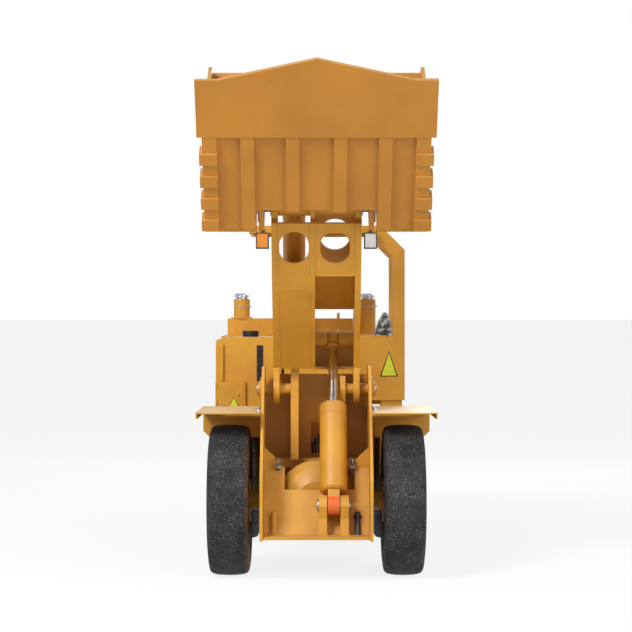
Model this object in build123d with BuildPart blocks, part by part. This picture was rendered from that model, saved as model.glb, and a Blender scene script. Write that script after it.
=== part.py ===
from build123d import *
from math import atan2, cos, degrees, hypot, radians, sin
import os

os.makedirs("parts", exist_ok=True)

# Underground mining loader, articulated, with its bucket raised and rolled back.
# Millimetres. X runs across the machine, the bucket is at the -Y end, Z is up from the floor.
# Places along the machine are given as a reach ahead of the front axle and a height.

# Wheels
tyre_radius = 527.5
tyre_width = 285
rim_radius = 262
wheel_centre_x = 607
wheelbase = 2300
lug_depth = 16
lug_count = 24
lug_length = 108

# Reaches of the two ends, which centre the machine on the origin
lip_corner = (1456, 3320)
lip_peak = 150
rear_end_reach = 3560
plate_gap = 6
pin_clearance = 0.3

# Bucket: the heel and the lip corner set the slope of its floor
heel = (727, 2330)
bucket_width = 1480
lip_width = 1544
back_top = (262, 3490)
shell_plate = 22
heel_round = 50
lip_plate = 28
lip_length = 420
hinge_along = 100
hinge_inside = 250
notch_width = 800
notch_along = 235
wear_strip_depth = 24
bucket_ear = 34

# Boom
boom_pivot = (-200, 1300)
boom_width = 610
boom_plate = 42
boom_web = 32
boom_web_x = -26
boom_leg_radius = 108
boom_head_radius = 90
knee_front = (360, 2000)
hole_width = 200
hole_length = 250
hole_distance = 330

# Lift cylinder
lift_base = (360, 520)
lift_eye = (-300, 1655)
lift_x = 118
lift_barrel_radius = 95
lift_rod_radius = 35
lift_eye_width = 80
lift_barrel_length = 672

# Tilt cylinder
tilt_base = (-200, 1501)
tilt_lever = 260
tilt_lever_angle = 138
tilt_x = -155
tilt_barrel_radius = 78
tilt_rod_radius = 35
tilt_barrel_length = 1090

# Front frame
frame_half_width = 386
frame_plate = 20
frame_front = 540
frame_low = 290
pin_radius = 38
axle_radius = 95
axle_case_radius = 275
case_depth = 130
articulation_reach = -1100
joint_heights = (460, 1010)
joint_lug = 60

# Rear body
rear_face_reach = -1300
tank_outer_x = -775
cab_outer_x = 680
cab_floor = 800
box_low = 1120
box_high = 1656
cab_back_reach = -2120
hood_high = 1800
wall = 24
post_width = 94
cab_inner_x = -250
cab_front_reach = rear_face_reach - 12
engine_half = 300
tow_bore = 51
tow_reach = -3435
tow_height = 680

# Steering cylinders: height, distance from the middle, reaches of the foot and the rod's eye
steer_height = 735
steer_x = 200
steer_foot = articulation_reach - 145
steer_head = articulation_reach + 400
steer_pin = 18
steer_eye_width = 50
steer_plates = (steer_height - 45, steer_height + 31)
steer_barrel_radius = 44
steer_rod_radius = 22
steer_barrel_start = 58
steer_barrel_end = 350
steer_rod_length = 336


def y_of(reach):
    """Y of a place given as a reach ahead of the front axle."""
    return front_axle_y - reach


def at(place):
    """A (reach, height) place as (Y, Z)."""
    return (front_axle_y - place[0], place[1])


def along(start, end, distance, side=0.0):
    """The place at a distance from start towards end, moved sideways to the left of that way."""
    length = hypot(end[0] - start[0], end[1] - start[1])
    u = ((end[0] - start[0]) / length, (end[1] - start[1]) / length)
    return (start[0] + distance * u[0] - side * u[1], start[1] + distance * u[1] + side * u[0])


def plate(places, x_low, thickness):
    """A plate across X with an outline of (reach, height) places."""
    with BuildSketch(Plane.YZ.offset(x_low)) as outline:
        with BuildLine():
            Polyline(*[at(place) for place in places], close=True)
        make_face()
    extrude(outline.sketch, amount=thickness)


def disc(place, radius, x_low, length, mode=Mode.ADD):
    """A round bar or hole along X at a place."""
    with BuildSketch(Plane.YZ.offset(x_low)) as round_face:
        with Locations(at(place)):
            Circle(radius)
    extrude(round_face.sketch, amount=length, mode=mode)


def strip(start, end, thickness, x_low, width):
    """A flat plate between two places, its thickness to the left of the way."""
    length = hypot(end[0] - start[0], end[1] - start[1])
    corners = [start, end, along(start, end, length, thickness), along(start, end, 0, thickness)]
    plate(corners, x_low, width)


def block(x_low, x_high, reach_back, reach_front, z_low, z_high, mode=Mode.ADD):
    """A box between two reaches."""
    with BuildSketch(Plane.XY.offset(z_low)) as footprint:
        with Locations(((x_low + x_high) / 2, y_of((reach_back + reach_front) / 2))):
            Rectangle(x_high - x_low, reach_front - reach_back)
    extrude(footprint.sketch, amount=z_high - z_low, mode=mode)


def save(builder, name, shift_y=0.0):
    """Write a piece, moved back along the machine where it repeats there."""
    piece = builder.part.moved(Location((0, shift_y, 0)))
    piece.label = name
    export_step(piece, f"parts/{name}.step")


# Places that follow from the sizes
floor_length = hypot(lip_corner[0] - heel[0], lip_corner[1] - heel[1])
lip_tip = along(heel, lip_corner, floor_length + lip_peak)
lip_overhang = lip_plate * (lip_corner[1] - heel[1]) / floor_length
front_axle_y = (lip_tip[0] + lip_overhang - rear_end_reach) / 2
front_axle = (0, tyre_radius)
rear_axle = (-wheelbase, tyre_radius)
hinge = along(heel, lip_corner, hinge_along, hinge_inside)
tilt_eye = (
    hinge[0] + tilt_lever * cos(radians(tilt_lever_angle)),
    hinge[1] + tilt_lever * sin(radians(tilt_lever_angle)),
)
boom_half = boom_width / 2
bay_left = (-boom_half + boom_plate, boom_web_x - boom_web / 2)
bay_right = (boom_web_x + boom_web / 2, boom_half - boom_plate)

# Tyres and rims. Shoulder lugs stand on a worn tread band. Both axles have the same pair.
sides = [("left", -1), ("right", 1)]
axle_shifts = [("front", 0), ("rear", wheelbase)]
shoulder_radius = tyre_radius - 34
lug_face = (tyre_radius**2 - (lug_length / 2) ** 2) ** 0.5
lug_half_angle = degrees(atan2(lug_length / 2, lug_face))
crown_half = tyre_width / 2 - 32
for side_name, side in sides:
    centre = Plane(origin=(side * wheel_centre_x, front_axle_y, tyre_radius), x_dir=(0, 0, 1), z_dir=(side, 0, 0))
    section = Plane(origin=centre.origin, x_dir=(side, 0, 0), z_dir=(0, 1, 0))
    axis = Axis(centre.origin, (side, 0, 0))
    half = tyre_width / 2
    with BuildPart() as tyre:
        with BuildSketch(section):
            with BuildLine():
                Polyline(
                    (-half + 34, rim_radius - 26),
                    (-half + 34, rim_radius),
                    (-half, rim_radius + 90),
                    (-half, shoulder_radius - 40),
                    (-crown_half, tyre_radius - lug_depth),
                    (crown_half, tyre_radius - lug_depth),
                    (half, shoulder_radius - 40),
                    (half, rim_radius + 90),
                    (half - 34, rim_radius),
                    (half - 34, rim_radius - 26),
                    close=True,
                )
            make_face()
        revolve(axis=axis)
        for edge_side in (-1, 1):
            with BuildSketch(centre.offset(edge_side * (crown_half / 2 + 8))):
                with PolarLocations(lug_face - lug_depth / 2 - 4, lug_count, start_angle=edge_side * lug_half_angle):
                    Rectangle(lug_depth + 8, lug_length)
            extrude(amount=crown_half / 2 + 4, both=True)
    for axle_name, shift in axle_shifts:
        save(tyre, f"tyre_{axle_name}_{side_name}", shift)
    with BuildPart() as rim:
        with BuildSketch(section):
            with BuildLine():
                Polyline(
                    (-half + 34, rim_radius),
                    (-half + 34, rim_radius - 26),
                    (10, rim_radius - 50),
                    (28, 80),
                    (70, 80),
                    (86, 60),
                    (86, 0),
                    (-60, 0),
                    (-60, 118),
                    (-10, 118),
                    (-22, rim_radius - 66),
                    (-half + 20, rim_radius - 44),
                    (-half + 20, rim_radius),
                    close=True,
                )
            make_face()
        revolve(axis=axis)
        with BuildSketch(section):
            with BuildLine():
                Polyline(
                    (10, rim_radius - 50),
                    (half - 34, rim_radius - 26),
                    (half - 34, rim_radius),
                    (half - 20, rim_radius),
                    (half - 20, rim_radius - 44),
                    (10, rim_radius - 66),
                    close=True,
                )
            make_face()
        revolve(axis=axis)
        with BuildSketch(centre.offset(20)):
            with PolarLocations(140, 10):
                Circle(14)
        extrude(amount=30)
    for axle_name, shift in axle_shifts:
        save(rim, f"rim_{axle_name}_{side_name}", shift)

# Axles: a round centre case, tubes and wheel flanges
for name, place in (("front_axle", front_axle), ("rear_axle", rear_axle)):
    tube_end = wheel_centre_x - 60 - pin_clearance
    with BuildPart() as axle:
        disc(place, axle_radius, -frame_half_width, 2 * frame_half_width)
        disc(place, axle_radius - 25, -tube_end, 2 * tube_end)
        for side in (-1, 1):
            disc(place, 150, side * (tube_end - 65) - 20, 40)
        case_plane = Plane(origin=(0, y_of(place[0]), place[1]), x_dir=(1, 0, 0), z_dir=(0, 0, 1))
        with BuildSketch(case_plane):
            with BuildLine():
                Polyline(
                    (0, -case_depth),
                    (0.5 * axle_case_radius, -case_depth),
                    (0.82 * axle_case_radius, -0.7 * case_depth),
                    (axle_case_radius, -0.25 * case_depth),
                    (axle_case_radius, 0.25 * case_depth),
                    (0.82 * axle_case_radius, 0.7 * case_depth),
                    (0.5 * axle_case_radius, case_depth),
                    (0, case_depth),
                    close=True,
                )
            make_face()
        revolve(axis=Axis(case_plane.origin, (0, 1, 0)))
    save(axle, name)

# Front frame: two side plates with the lift cylinder's slanted front plate, towers and hinge lugs between
side_outline = [
    (frame_front, frame_low),
    (frame_front, 700),
    (130, 1262),
    (60, 1330),
    (-60, 1460),
    (-330, 1460),
    (-420, 1330),
    (-420, 1180),
    (-560, 1060),
    (-620, 900),
    (-620, 420),
    (-520, frame_low),
]
inside = frame_half_width - frame_plate
front_plate_foot = (355, frame_low + 10)
front_plate_top = (93, 766)
back_wall_reach = -440
tower_left = (tilt_x - 28, tilt_x + 28)
tower_right = (165, 205)
slot_half = 62
with BuildPart() as front_frame:
    for x_low in (-frame_half_width, inside):
        plate(side_outline, x_low, frame_plate)
        disc(boom_pivot, 85, x_low - 12 if x_low < 0 else x_low, frame_plate + 12)
    # Floor and slanted front plate, with the notch that shows the axle case
    strip((frame_front - 20, frame_low + 10), (150, frame_low + 10), -20, -inside, 2 * inside)
    strip(front_plate_foot, front_plate_top, 20, -inside, 2 * inside)
    block(-222, inside - 100, 40, 320, 612, 800, mode=Mode.SUBTRACT)
    # Back wall with its hose slot
    block(-inside, inside, back_wall_reach - 20, back_wall_reach, 420, 1400)
    block(-40, 30, back_wall_reach - 30, back_wall_reach + 10, 860, 1050, mode=Mode.SUBTRACT)
    # Cross beam behind the axle case
    block(-inside, inside, -250, -200, 740, 800)
    block(-inside, inside, back_wall_reach, -250, 780, 800)
    # Towers beside the boom pivot, the left one carrying the tilt cylinder's foot
    plate(
        [(-120, 800), (-142, 1290), (-142, 1318), (-196, 1358), (-192, 1470), (-250, 1540),
         (back_wall_reach + 5, 1400), (back_wall_reach, 800)],
        tower_left[0],
        tower_left[1] - tower_left[0],
    )
    disc(boom_pivot, 55, tower_left[0], tower_left[1] - tower_left[0])
    disc(tilt_base, 58, tower_left[0], tower_left[1] - tower_left[0])
    plate(
        [(-180, 800), (-150, 1180), (-130, 1300), (-160, 1392), (-330, 1392), (back_wall_reach, 1330),
         (back_wall_reach, 800)],
        tower_right[0],
        tower_right[1] - tower_right[0],
    )
    # Gussets between the side plates and the top of the slanted front plate
    for side in (-1, 1):
        with BuildSketch(Plane.XZ.offset(-y_of(85))):
            with BuildLine():
                Polyline(
                    (side * inside, 750),
                    (side * inside, 905),
                    (side * (inside - 98), 812),
                    (side * (inside - 98), 750),
                    close=True,
                )
            make_face()
        extrude(amount=14)
    # Ears for the lift cylinder's foot
    for x_low in (lift_x - lift_eye_width / 2 - plate_gap - 57, lift_x + lift_eye_width / 2 + plate_gap):
        plate(
            [(430, frame_low + 10), (400, 430), (lift_base[0] + 70, lift_base[1]), (lift_base[0] + 50, lift_base[1] + 50),
             (lift_base[0], lift_base[1] + 70), (lift_base[0] - 50, lift_base[1] + 50),
             (lift_base[0] - 100, lift_base[1]), (front_plate_foot[0] - 8, frame_low + 10)],
            x_low,
            57,
        )
        block(x_low - 14, x_low + 71, 380, 470, frame_low + 10, frame_low + 34)
    # Bores for the boom pins and the lift cylinder's pin
    disc(boom_pivot, pin_radius, -frame_half_width - 20, 2 * frame_half_width + 40, mode=Mode.SUBTRACT)
    disc(lift_base, pin_radius, lift_x - 110, 220, mode=Mode.SUBTRACT)
    disc(tilt_base, pin_radius, tilt_x - 40, 80, mode=Mode.SUBTRACT)
    # Axle seats
    disc(front_axle, axle_radius + pin_clearance, -frame_half_width - 1, 2 * frame_half_width + 2, mode=Mode.SUBTRACT)
    # Rear closing plate, the clevises of the steering cylinders and the lugs of the steering hinge
    block(-inside, inside, -620, -600, 420, 1060)
    for side in (-1, 1):
        for z_low in steer_plates:
            block(side * steer_x - 45, side * steer_x + 45, steer_head - 26, -619, z_low, z_low + 14)
    for height in joint_heights:
        with BuildSketch(Plane.XY.offset(height - joint_lug / 2)):
            with BuildLine():
                Polyline(
                    (-230, y_of(-600)),
                    (-84, y_of(articulation_reach)),
                    (84, y_of(articulation_reach)),
                    (230, y_of(-600)),
                    close=True,
                )
            make_face()
            with Locations((0, y_of(articulation_reach))):
                Circle(95)
        extrude(amount=joint_lug)
        with Locations((0, y_of(articulation_reach), height)):
            Cylinder(pin_radius + 7, joint_lug + 4, mode=Mode.SUBTRACT)
save(front_frame, "front_frame")

# Boom: outer plates, a web off centre, upper plates with round-ended holes and the lower bay plates
boom_outline_front = [
    (boom_pivot[0] + 100, boom_pivot[1] - 20),
    (boom_pivot[0] + 96, 1452),
    knee_front,
]
head_front = along(hinge, knee_front, boom_head_radius, boom_head_radius)
head_back = along(hinge, (60, 2060), boom_head_radius, -boom_head_radius)
boom_outline_back = [
    (250, 2190),
    (lift_eye[0] - 40, lift_eye[1] + 96),
    (lift_eye[0] - 96, lift_eye[1] + 20),
    (lift_eye[0] - 96, 1440),
    (boom_pivot[0] - 106, boom_pivot[1] + 20),
]
upper_front = (knee_front, along(knee_front, head_front, 560))
with BuildPart() as boom:
    for x_low in (-boom_half, boom_half - boom_plate):
        plate(boom_outline_front + [head_front] + [head_back] + boom_outline_back, x_low, boom_plate)
        disc(boom_pivot, boom_leg_radius, x_low, boom_plate)
        disc(hinge, boom_head_radius, x_low, boom_plate)
    plate(
        [(-110, 1445), knee_front, head_front, head_back, boom_outline_back[0], (lift_eye[0] - 40, lift_eye[1] + 96),
         (lift_eye[0] - 96, lift_eye[1] + 20), (lift_eye[0] - 96, 1445)],
        boom_web_x - boom_web / 2,
        boom_web,
    )
    disc(hinge, boom_head_radius, boom_web_x - boom_web / 2, boom_web)
    # Hinge tube across the head
    disc(hinge, 62, -boom_half, boom_width)
    # Front plates of the upper length, both bays
    span = bay_right[1] - bay_left[0]
    strip(along(knee_front, head_front, 110), along(knee_front, head_front, 520), 18, bay_left[0], span)
    strip(knee_front, along(knee_front, head_front, 110), 18, bay_left[0], bay_left[1] - bay_left[0])
    # Back plate of the upper length, right bay; the tilt cylinder leaves the left bay open
    back_low = along(knee_front, head_front, 100, 182)
    back_high = along(knee_front, head_front, 470, 182)
    strip(back_low, back_high, 18, bay_right[0], bay_right[1] - bay_right[0])
    strip((-180, 1868), back_low, 18, bay_right[0], bay_right[1] - bay_right[0])
    # Front plate of the lower length, left bay
    strip((-110, 1445), knee_front, 18, bay_left[0], bay_left[1] - bay_left[0])
    # Bottom strip and back plate of the lower length, right bay
    strip((-250, 1437), (lift_eye[0] - 96, 1437), -20, bay_right[0], bay_right[1] - bay_right[0])
    strip((lift_eye[0] - 94, 1445), (lift_eye[0] - 94, 1600), 16, bay_right[0], bay_right[1] - bay_right[0])
    # Lift eye bosses with the gap for the rod's eye
    disc(lift_eye, 56, bay_right[0], lift_x - lift_eye_width / 2 - plate_gap - bay_right[0])
    disc(lift_eye, 56, lift_x + lift_eye_width / 2 + plate_gap, bay_right[1] - lift_x - lift_eye_width / 2 - plate_gap)
    # Round-ended holes through front and back plates
    up = Vector(0, -(head_front[0] - knee_front[0]), head_front[1] - knee_front[1]).normalized()
    for bay in (bay_left, bay_right):
        centre = at(along(knee_front, head_front, hole_distance, -40))
        hole_plane = Plane(origin=((bay[0] + bay[1]) / 2, centre[0], centre[1]), x_dir=up, z_dir=up.cross(Vector(1, 0, 0)))
        with BuildSketch(hole_plane):
            SlotOverall(hole_length, hole_width)
        extrude(amount=280, both=True, mode=Mode.SUBTRACT)
    # Bores for the boom pins and the hinge pin
    disc(boom_pivot, pin_radius + pin_clearance, -boom_half - 1, boom_width + 2, mode=Mode.SUBTRACT)
    disc(hinge, pin_radius + pin_clearance, -boom_half - 1, boom_width + 2, mode=Mode.SUBTRACT)
save(boom, "boom")

# Bucket, laid out by distance along its floor from the heel and by height inside that floor
floor_vector = Vector(0, -(lip_corner[0] - heel[0]), lip_corner[1] - heel[1]).normalized()
inside_vector = Vector(0, floor_vector.Z, -floor_vector.Y)
floor_plane = Plane(origin=(0, *at(heel)), x_dir=(1, 0, 0), z_dir=-inside_vector)


def in_bucket(distance, height):
    """The (reach, height) place at a distance along the bucket's floor and a height inside it."""
    return along(heel, lip_corner, distance, height)


def floor_piece(places, offset, thickness, mode=Mode.ADD):
    """A plate parallel to the bucket's floor, with (x, distance) places."""
    with BuildSketch(floor_plane.offset(offset)) as outline:
        with BuildLine():
            Polyline(*places, close=True)
        make_face()
    extrude(outline.sketch, amount=thickness, mode=mode)


def bar_places(x_low, x_high, low, high):
    return [(x_low, low), (x_high, low), (x_high, high), (x_low, high)]


back_length = hypot(back_top[0] - heel[0], back_top[1] - heel[1])
half_bucket = bucket_width / 2
lip_low = floor_length - lip_length
sheet_end = floor_length - 60
inner_heel = (shell_plate * 1.8, shell_plate)
back_height = (back_top[0] - heel[0]) * -sin(atan2(floor_vector.Z, -floor_vector.Y)) + (
    back_top[1] - heel[1]
) * cos(atan2(floor_vector.Z, -floor_vector.Y))
back_slope = atan2(back_top[1] - heel[1], back_top[0] - heel[0]) - atan2(floor_vector.Z, -floor_vector.Y)
pocket_height = notch_along * sin(back_slope) / cos(back_slope)
wear_strips = [
    # centre x, width, low end along the floor
    (-447, 88, 90),
    (-155, 88, notch_along),
    (155, 88, notch_along),
    (447, 88, 90),
    (-692, 96, 90),
    (692, 96, 90),
]
pad_distances = [135, 305, 475, 645]
heel_run = heel_round / sin(back_slope / 2) * cos(back_slope / 2) + 6
with BuildPart() as bucket_shell:
    with BuildSketch(Plane.YZ.offset(-half_bucket)):
        with BuildLine():
            Polyline(
                at(in_bucket(sheet_end, 0)),
                at(heel),
                at(back_top),
                at(along(heel, back_top, back_length, -shell_plate)),
                at(in_bucket(*inner_heel)),
                at(in_bucket(sheet_end, shell_plate)),
                close=True,
            )
        sheet_face = make_face()
        fillet(sheet_face.vertices().sort_by(Axis.Y)[1:2], heel_round - shell_plate)
        fillet(vertices().sort_by(Axis.Y)[0:1], heel_round)
    extrude(amount=bucket_width)
    # The notch for the boom's head, closed inside by a wall
    with BuildSketch(Plane.YZ.offset(-notch_width / 2)):
        with BuildLine():
            Polyline(
                at(in_bucket(-200, -60)),
                at(in_bucket(notch_along, -60)),
                at(in_bucket(notch_along, pocket_height + 60)),
                at(in_bucket(-200, pocket_height + 60)),
                close=True,
            )
        make_face()
    extrude(amount=notch_width, mode=Mode.SUBTRACT)
    plate(
        [in_bucket(notch_along, 0), in_bucket(notch_along + shell_plate, 0),
         in_bucket(notch_along + shell_plate, pocket_height + 30), in_bucket(notch_along, pocket_height)],
        -notch_width / 2 - shell_plate,
        notch_width + 2 * shell_plate,
    )
    for x_low in (-notch_width / 2 - shell_plate, notch_width / 2):
        plate(
            [in_bucket(heel_run, 8), in_bucket(notch_along + 4, 8), in_bucket(notch_along + 4, pocket_height),
             along(heel, back_top, heel_run, -8)],
            x_low,
            shell_plate,
        )
    # End plates with a hollowed mouth edge
    for x_low in (-half_bucket, half_bucket - 26):
        plate(
            [in_bucket(sheet_end, 4), in_bucket(heel_run, 4), along(heel, back_top, heel_run, -4),
             along(heel, back_top, back_length - 4, -4),
             along(heel, back_top, back_length - 10, -120), in_bucket(820, 330), in_bucket(sheet_end - 60, 130)],
            x_low,
            26,
        )
    # Back edge bar and ears for the hinge pin
    strip(along(heel, back_top, back_length - 70, 0), along(heel, back_top, back_length, 0), 22, -half_bucket, bucket_width)
    for side in (-1, 1):
        x_low = side * (boom_half + 45 + bucket_ear / 2) - bucket_ear / 2
        plate(
            [in_bucket(notch_along + 4, 14), in_bucket(70, 20), in_bucket(20, 80), in_bucket(hinge_along - 70, 280),
             in_bucket(hinge_along - 20, 322), in_bucket(hinge_along + 30, 330), in_bucket(notch_along + 4, pocket_height)],
            x_low,
            bucket_ear,
        )
        disc(hinge, 78, x_low, bucket_ear)
        disc(hinge, pin_radius + pin_clearance, x_low - 1, bucket_ear + 2, mode=Mode.SUBTRACT)
    # Ears for the tilt cylinder's eye
    for x_low in (tilt_x - 40 - plate_gap - 30, tilt_x + 40 + plate_gap):
        plate(
            [along(heel, back_top, 460, 0), along(heel, back_top, 700, 0), (tilt_eye[0] + 20, tilt_eye[1] + 60),
             (tilt_eye[0] - 45, tilt_eye[1] + 40), (tilt_eye[0] - 55, tilt_eye[1] - 20), (tilt_eye[0] + 10, tilt_eye[1] - 58)],
            x_low,
            30,
        )
    # Wear strips and wrap-round corner pads
    for centre_x, width, low_end in wear_strips:
        floor_piece(bar_places(centre_x - width / 2, centre_x + width / 2, low_end, lip_low), 0, wear_strip_depth)
    for side in (-1, 1):
        for distance in pad_distances:
            inner, outer = sorted((side * (half_bucket - 96), side * (half_bucket + 20)))
            floor_piece(bar_places(inner, outer, distance - 42, distance + 42), wear_strip_depth, 16)
            side_low, side_high = sorted((side * half_bucket, side * (half_bucket + 20)))
            floor_piece(bar_places(side_low, side_high, distance - 42, distance + 42), -70, 70 + wear_strip_depth + 16)
save(bucket_shell, "bucket_shell")
with BuildPart() as cutting_edge:
    floor_piece(
        [(-lip_width / 2, lip_low), (lip_width / 2, lip_low), (lip_width / 2, floor_length),
         (620, floor_length), (0, floor_length + lip_peak), (-620, floor_length), (-lip_width / 2, floor_length)],
        0,
        lip_plate,
    )
    chamfer(cutting_edge.edges().filter_by(Axis.X).sort_by(Axis.Z)[-1:], 6)
save(cutting_edge, "cutting_edge")

# Hinge pins
pin_run = pin_radius - pin_clearance
with BuildPart() as bucket_pin:
    disc(hinge, pin_run, -boom_half - 45 - bucket_ear - 8, boom_width + 2 * (45 + bucket_ear + 8))
save(bucket_pin, "bucket_hinge_pin")
with BuildPart() as boom_pins:
    disc(boom_pivot, pin_run, -frame_half_width - 16, frame_half_width + 16 + tower_left[1])
    disc(boom_pivot, pin_run, tower_right[0], frame_half_width + 16 - tower_right[0])
    for x_low in (-frame_half_width - 28, frame_half_width + 12):
        disc(boom_pivot, 56, x_low, 16)
    disc(lift_base, pin_run, lift_x - 104, 208)
    disc(tilt_base, pin_run, tilt_x - 70, 140)
save(boom_pins, "front_frame_pins")

# Lift and tilt cylinders, each a barrel with a foot eye and a rod with a head eye
cylinders = [
    # name, foot, head, centre x, barrel radius, rod radius, barrel start, barrel end, rod start, foot width
    ("lift", lift_base, lift_eye, lift_x, lift_barrel_radius, lift_rod_radius, 100, 100 + lift_barrel_length, 590, 80),
    ("tilt", tilt_base, tilt_eye, tilt_x, tilt_barrel_radius, tilt_rod_radius, 110, 110 + tilt_barrel_length, 170, 56),
]
head_width = 80
for name, foot, head, x, barrel_radius, rod_radius, start, end, rod_start, foot_width in cylinders:
    length = hypot(head[0] - foot[0], head[1] - foot[1])
    direction = Vector(0, -(head[0] - foot[0]), head[1] - foot[1]).normalized()
    spin_axis = Axis((x, *at(foot)), direction)
    section = Plane(origin=(x, *at(foot)), x_dir=(1, 0, 0), z_dir=Vector(1, 0, 0).cross(direction))
    bore = rod_radius + 1
    with BuildPart() as barrel:
        with BuildSketch(section):
            with BuildLine():
                Polyline(
                    (0, start),
                    (barrel_radius - 14, start),
                    (barrel_radius, start + 14),
                    (barrel_radius, end - 90),
                    (barrel_radius - 3, end - 86),
                    (barrel_radius, end - 82),
                    (barrel_radius, end - 10),
                    (barrel_radius - 8, end),
                    (bore, end),
                    (bore, start + 40),
                    (0, start + 40),
                    close=True,
                )
            make_face()
        revolve(axis=spin_axis)
        if name == "lift":
            disc(foot, 66, x - foot_width / 2, foot_width)
            plate(
                [along(foot, head, 0, 50), along(foot, head, start + 20, 62), along(foot, head, start + 20, -62),
                 along(foot, head, 0, -50)],
                x - foot_width / 2,
                foot_width,
            )
            disc(foot, pin_radius, x - foot_width, 2 * foot_width, mode=Mode.SUBTRACT)
        else:
            for x_low in (x - foot_width / 2 - 5 - 26, x + foot_width / 2 + 5):
                disc(foot, 58, x_low, 26)
                plate(
                    [along(foot, head, 0, 52), along(foot, head, start + 20, 52), along(foot, head, start + 20, -52),
                     along(foot, head, 0, -52)],
                    x_low,
                    26,
                )
            disc(foot, pin_radius, x - 2 * foot_width, 4 * foot_width, mode=Mode.SUBTRACT)
    save(barrel, f"{name}_barrel")
    with BuildPart() as rod:
        with BuildSketch(section):
            with BuildLine():
                Polyline((0, rod_start), (rod_radius, rod_start), (rod_radius, length - 30), (0, length - 30), close=True)
            make_face()
        revolve(axis=spin_axis)
        disc(head, 56, x - head_width / 2, head_width)
    save(rod, f"{name}_rod")

# Front mudguards with cut corners and a rounded skirt behind the wheel
guard_outer = 832
guard_height = 1157
for side_name, side in sides:
    low_x, high_x = sorted((side * frame_half_width, side * guard_outer))
    with BuildPart() as guard:
        with BuildSketch(Plane.XY.offset(guard_height - 10)):
            with BuildLine():
                Polyline(
                    (side * frame_half_width, y_of(400)),
                    (side * (guard_outer - 60), y_of(400)),
                    (side * guard_outer, y_of(330)),
                    (side * guard_outer, y_of(-640)),
                    (side * frame_half_width, y_of(-640)),
                    close=True,
                )
            make_face()
        extrude(amount=10)
        with BuildSketch(Plane.XZ.offset(-y_of(-628))):
            with BuildLine():
                Polyline(
                    (side * frame_half_width, guard_height - 5),
                    (side * guard_outer, guard_height - 5),
                    (side * guard_outer, 975),
                    (side * (guard_outer - 45), 930),
                    (side * frame_half_width, 930),
                    close=True,
                )
            make_face()
        extrude(amount=10)
        block(*sorted((side * (guard_outer - 10), side * guard_outer)), -640, 330, guard_height - 46, guard_height - 4)
    save(guard, f"front_guard_{side_name}")

# Rear frame: side plates between the wheels, cross plates, hinge forks, bumper and deck
frame_top = box_low - 16
rear_outline = [
    (-1290, 380),
    (-1290, frame_top),
    (-3330, frame_top),
    (-3480, 960),
    (-3480, 560),
    (-3300, 380),
]
rear_frame_half = 366
fork_gap = 8
fork_plate = 36
with BuildPart() as rear_frame:
    for x_low in (-rear_frame_half, rear_frame_half - frame_plate):
        plate(rear_outline, x_low, frame_plate)
    block(-rear_frame_half, rear_frame_half, -1310, -1290, 380, frame_top)
    for reach in (-1860, -2740, -3220):
        block(-rear_frame_half, rear_frame_half, reach, reach + 16, 380, cab_floor)
    block(-rear_frame_half, rear_frame_half, -3496, -3480, 560, frame_top)
    # Rear bumper across the machine, stepped at its ends
    block(-700, 700, rear_end_reach * -1, -3500 + 4, 470, 900)
    block(-700, -560, -3500, -3380, 560, 860)
    block(560, 700, -3500, -3380, 560, 860)
    # Deck that carries the body
    block(-640, 640, -3470, cab_back_reach - 4, frame_top, box_low)
    block(-640, cab_inner_x - 6, -3470, rear_face_reach, frame_top, box_low)
    block(-engine_half - 10, engine_half + 10, -3360, -2460, frame_top - 1, box_low + 1, mode=Mode.SUBTRACT)
    # Room for the operator's tub
    block(cab_inner_x - 6, rear_frame_half + 1, cab_back_reach - 4, cab_front_reach + 4, cab_floor, box_low + 1,
          mode=Mode.SUBTRACT)
    # Brackets for the steering cylinders' feet
    for side in (-1, 1):
        for z_low in steer_plates:
            block(side * steer_x - 40, side * steer_x + 40, -1291, steer_foot + 25, z_low, z_low + 14)
    # Forks of the steering hinge, one pair of plates for each front lug
    for height in joint_heights:
        for z_low in (height - joint_lug / 2 - fork_gap - fork_plate, height + joint_lug / 2 + fork_gap):
            with BuildSketch(Plane.XY.offset(z_low)):
                with BuildLine():
                    Polyline(
                        (-250, y_of(-1295)),
                        (-88, y_of(articulation_reach)),
                        (88, y_of(articulation_reach)),
                        (250, y_of(-1295)),
                        close=True,
                    )
                make_face()
                with Locations((0, y_of(articulation_reach))):
                    Circle(100)
            extrude(amount=fork_plate)
            with Locations((0, y_of(articulation_reach), z_low + fork_plate / 2)):
                Cylinder(pin_radius + 7, fork_plate + 4, mode=Mode.SUBTRACT)
    disc(rear_axle, axle_radius + pin_clearance, -rear_frame_half - 1, 2 * rear_frame_half + 2, mode=Mode.SUBTRACT)
    for side in (-1, 1):
        with Locations((side * steer_x, y_of(steer_foot), steer_height)):
            Cylinder(steer_pin, 120, mode=Mode.SUBTRACT)
    # Tow pin pocket in the bumper: an open mouth with a vertical pin bore behind it
    block(-90, 90, -rear_end_reach - 1, tow_reach + 50, tow_height - 60, tow_height + 60, mode=Mode.SUBTRACT)
    for z_low in (tow_height - 100, tow_height + 60):
        block(-90, 90, 4 - 3500, tow_reach + 50, z_low, z_low + 40)
    with Locations((0, y_of(tow_reach), tow_height)):
        Cylinder(tow_bore / 2, 210, mode=Mode.SUBTRACT)
save(rear_frame, "rear_frame")
with BuildPart() as hinge_pins:
    for height in joint_heights:
        reach_out = joint_lug / 2 + fork_gap + fork_plate
        with Locations((0, y_of(articulation_reach), height)):
            Cylinder(pin_radius + 7 - pin_clearance, 2 * reach_out)
        for side in (-1, 1):
            with Locations((0, y_of(articulation_reach), height + side * (reach_out + 6))):
                Cylinder(70, 12)
    for side in (-1, 1):
        with Locations((side * steer_x, y_of(steer_foot), steer_height)):
            Cylinder(steer_pin - pin_clearance, 104)
save(hinge_pins, "steering_hinge_pins")

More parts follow.
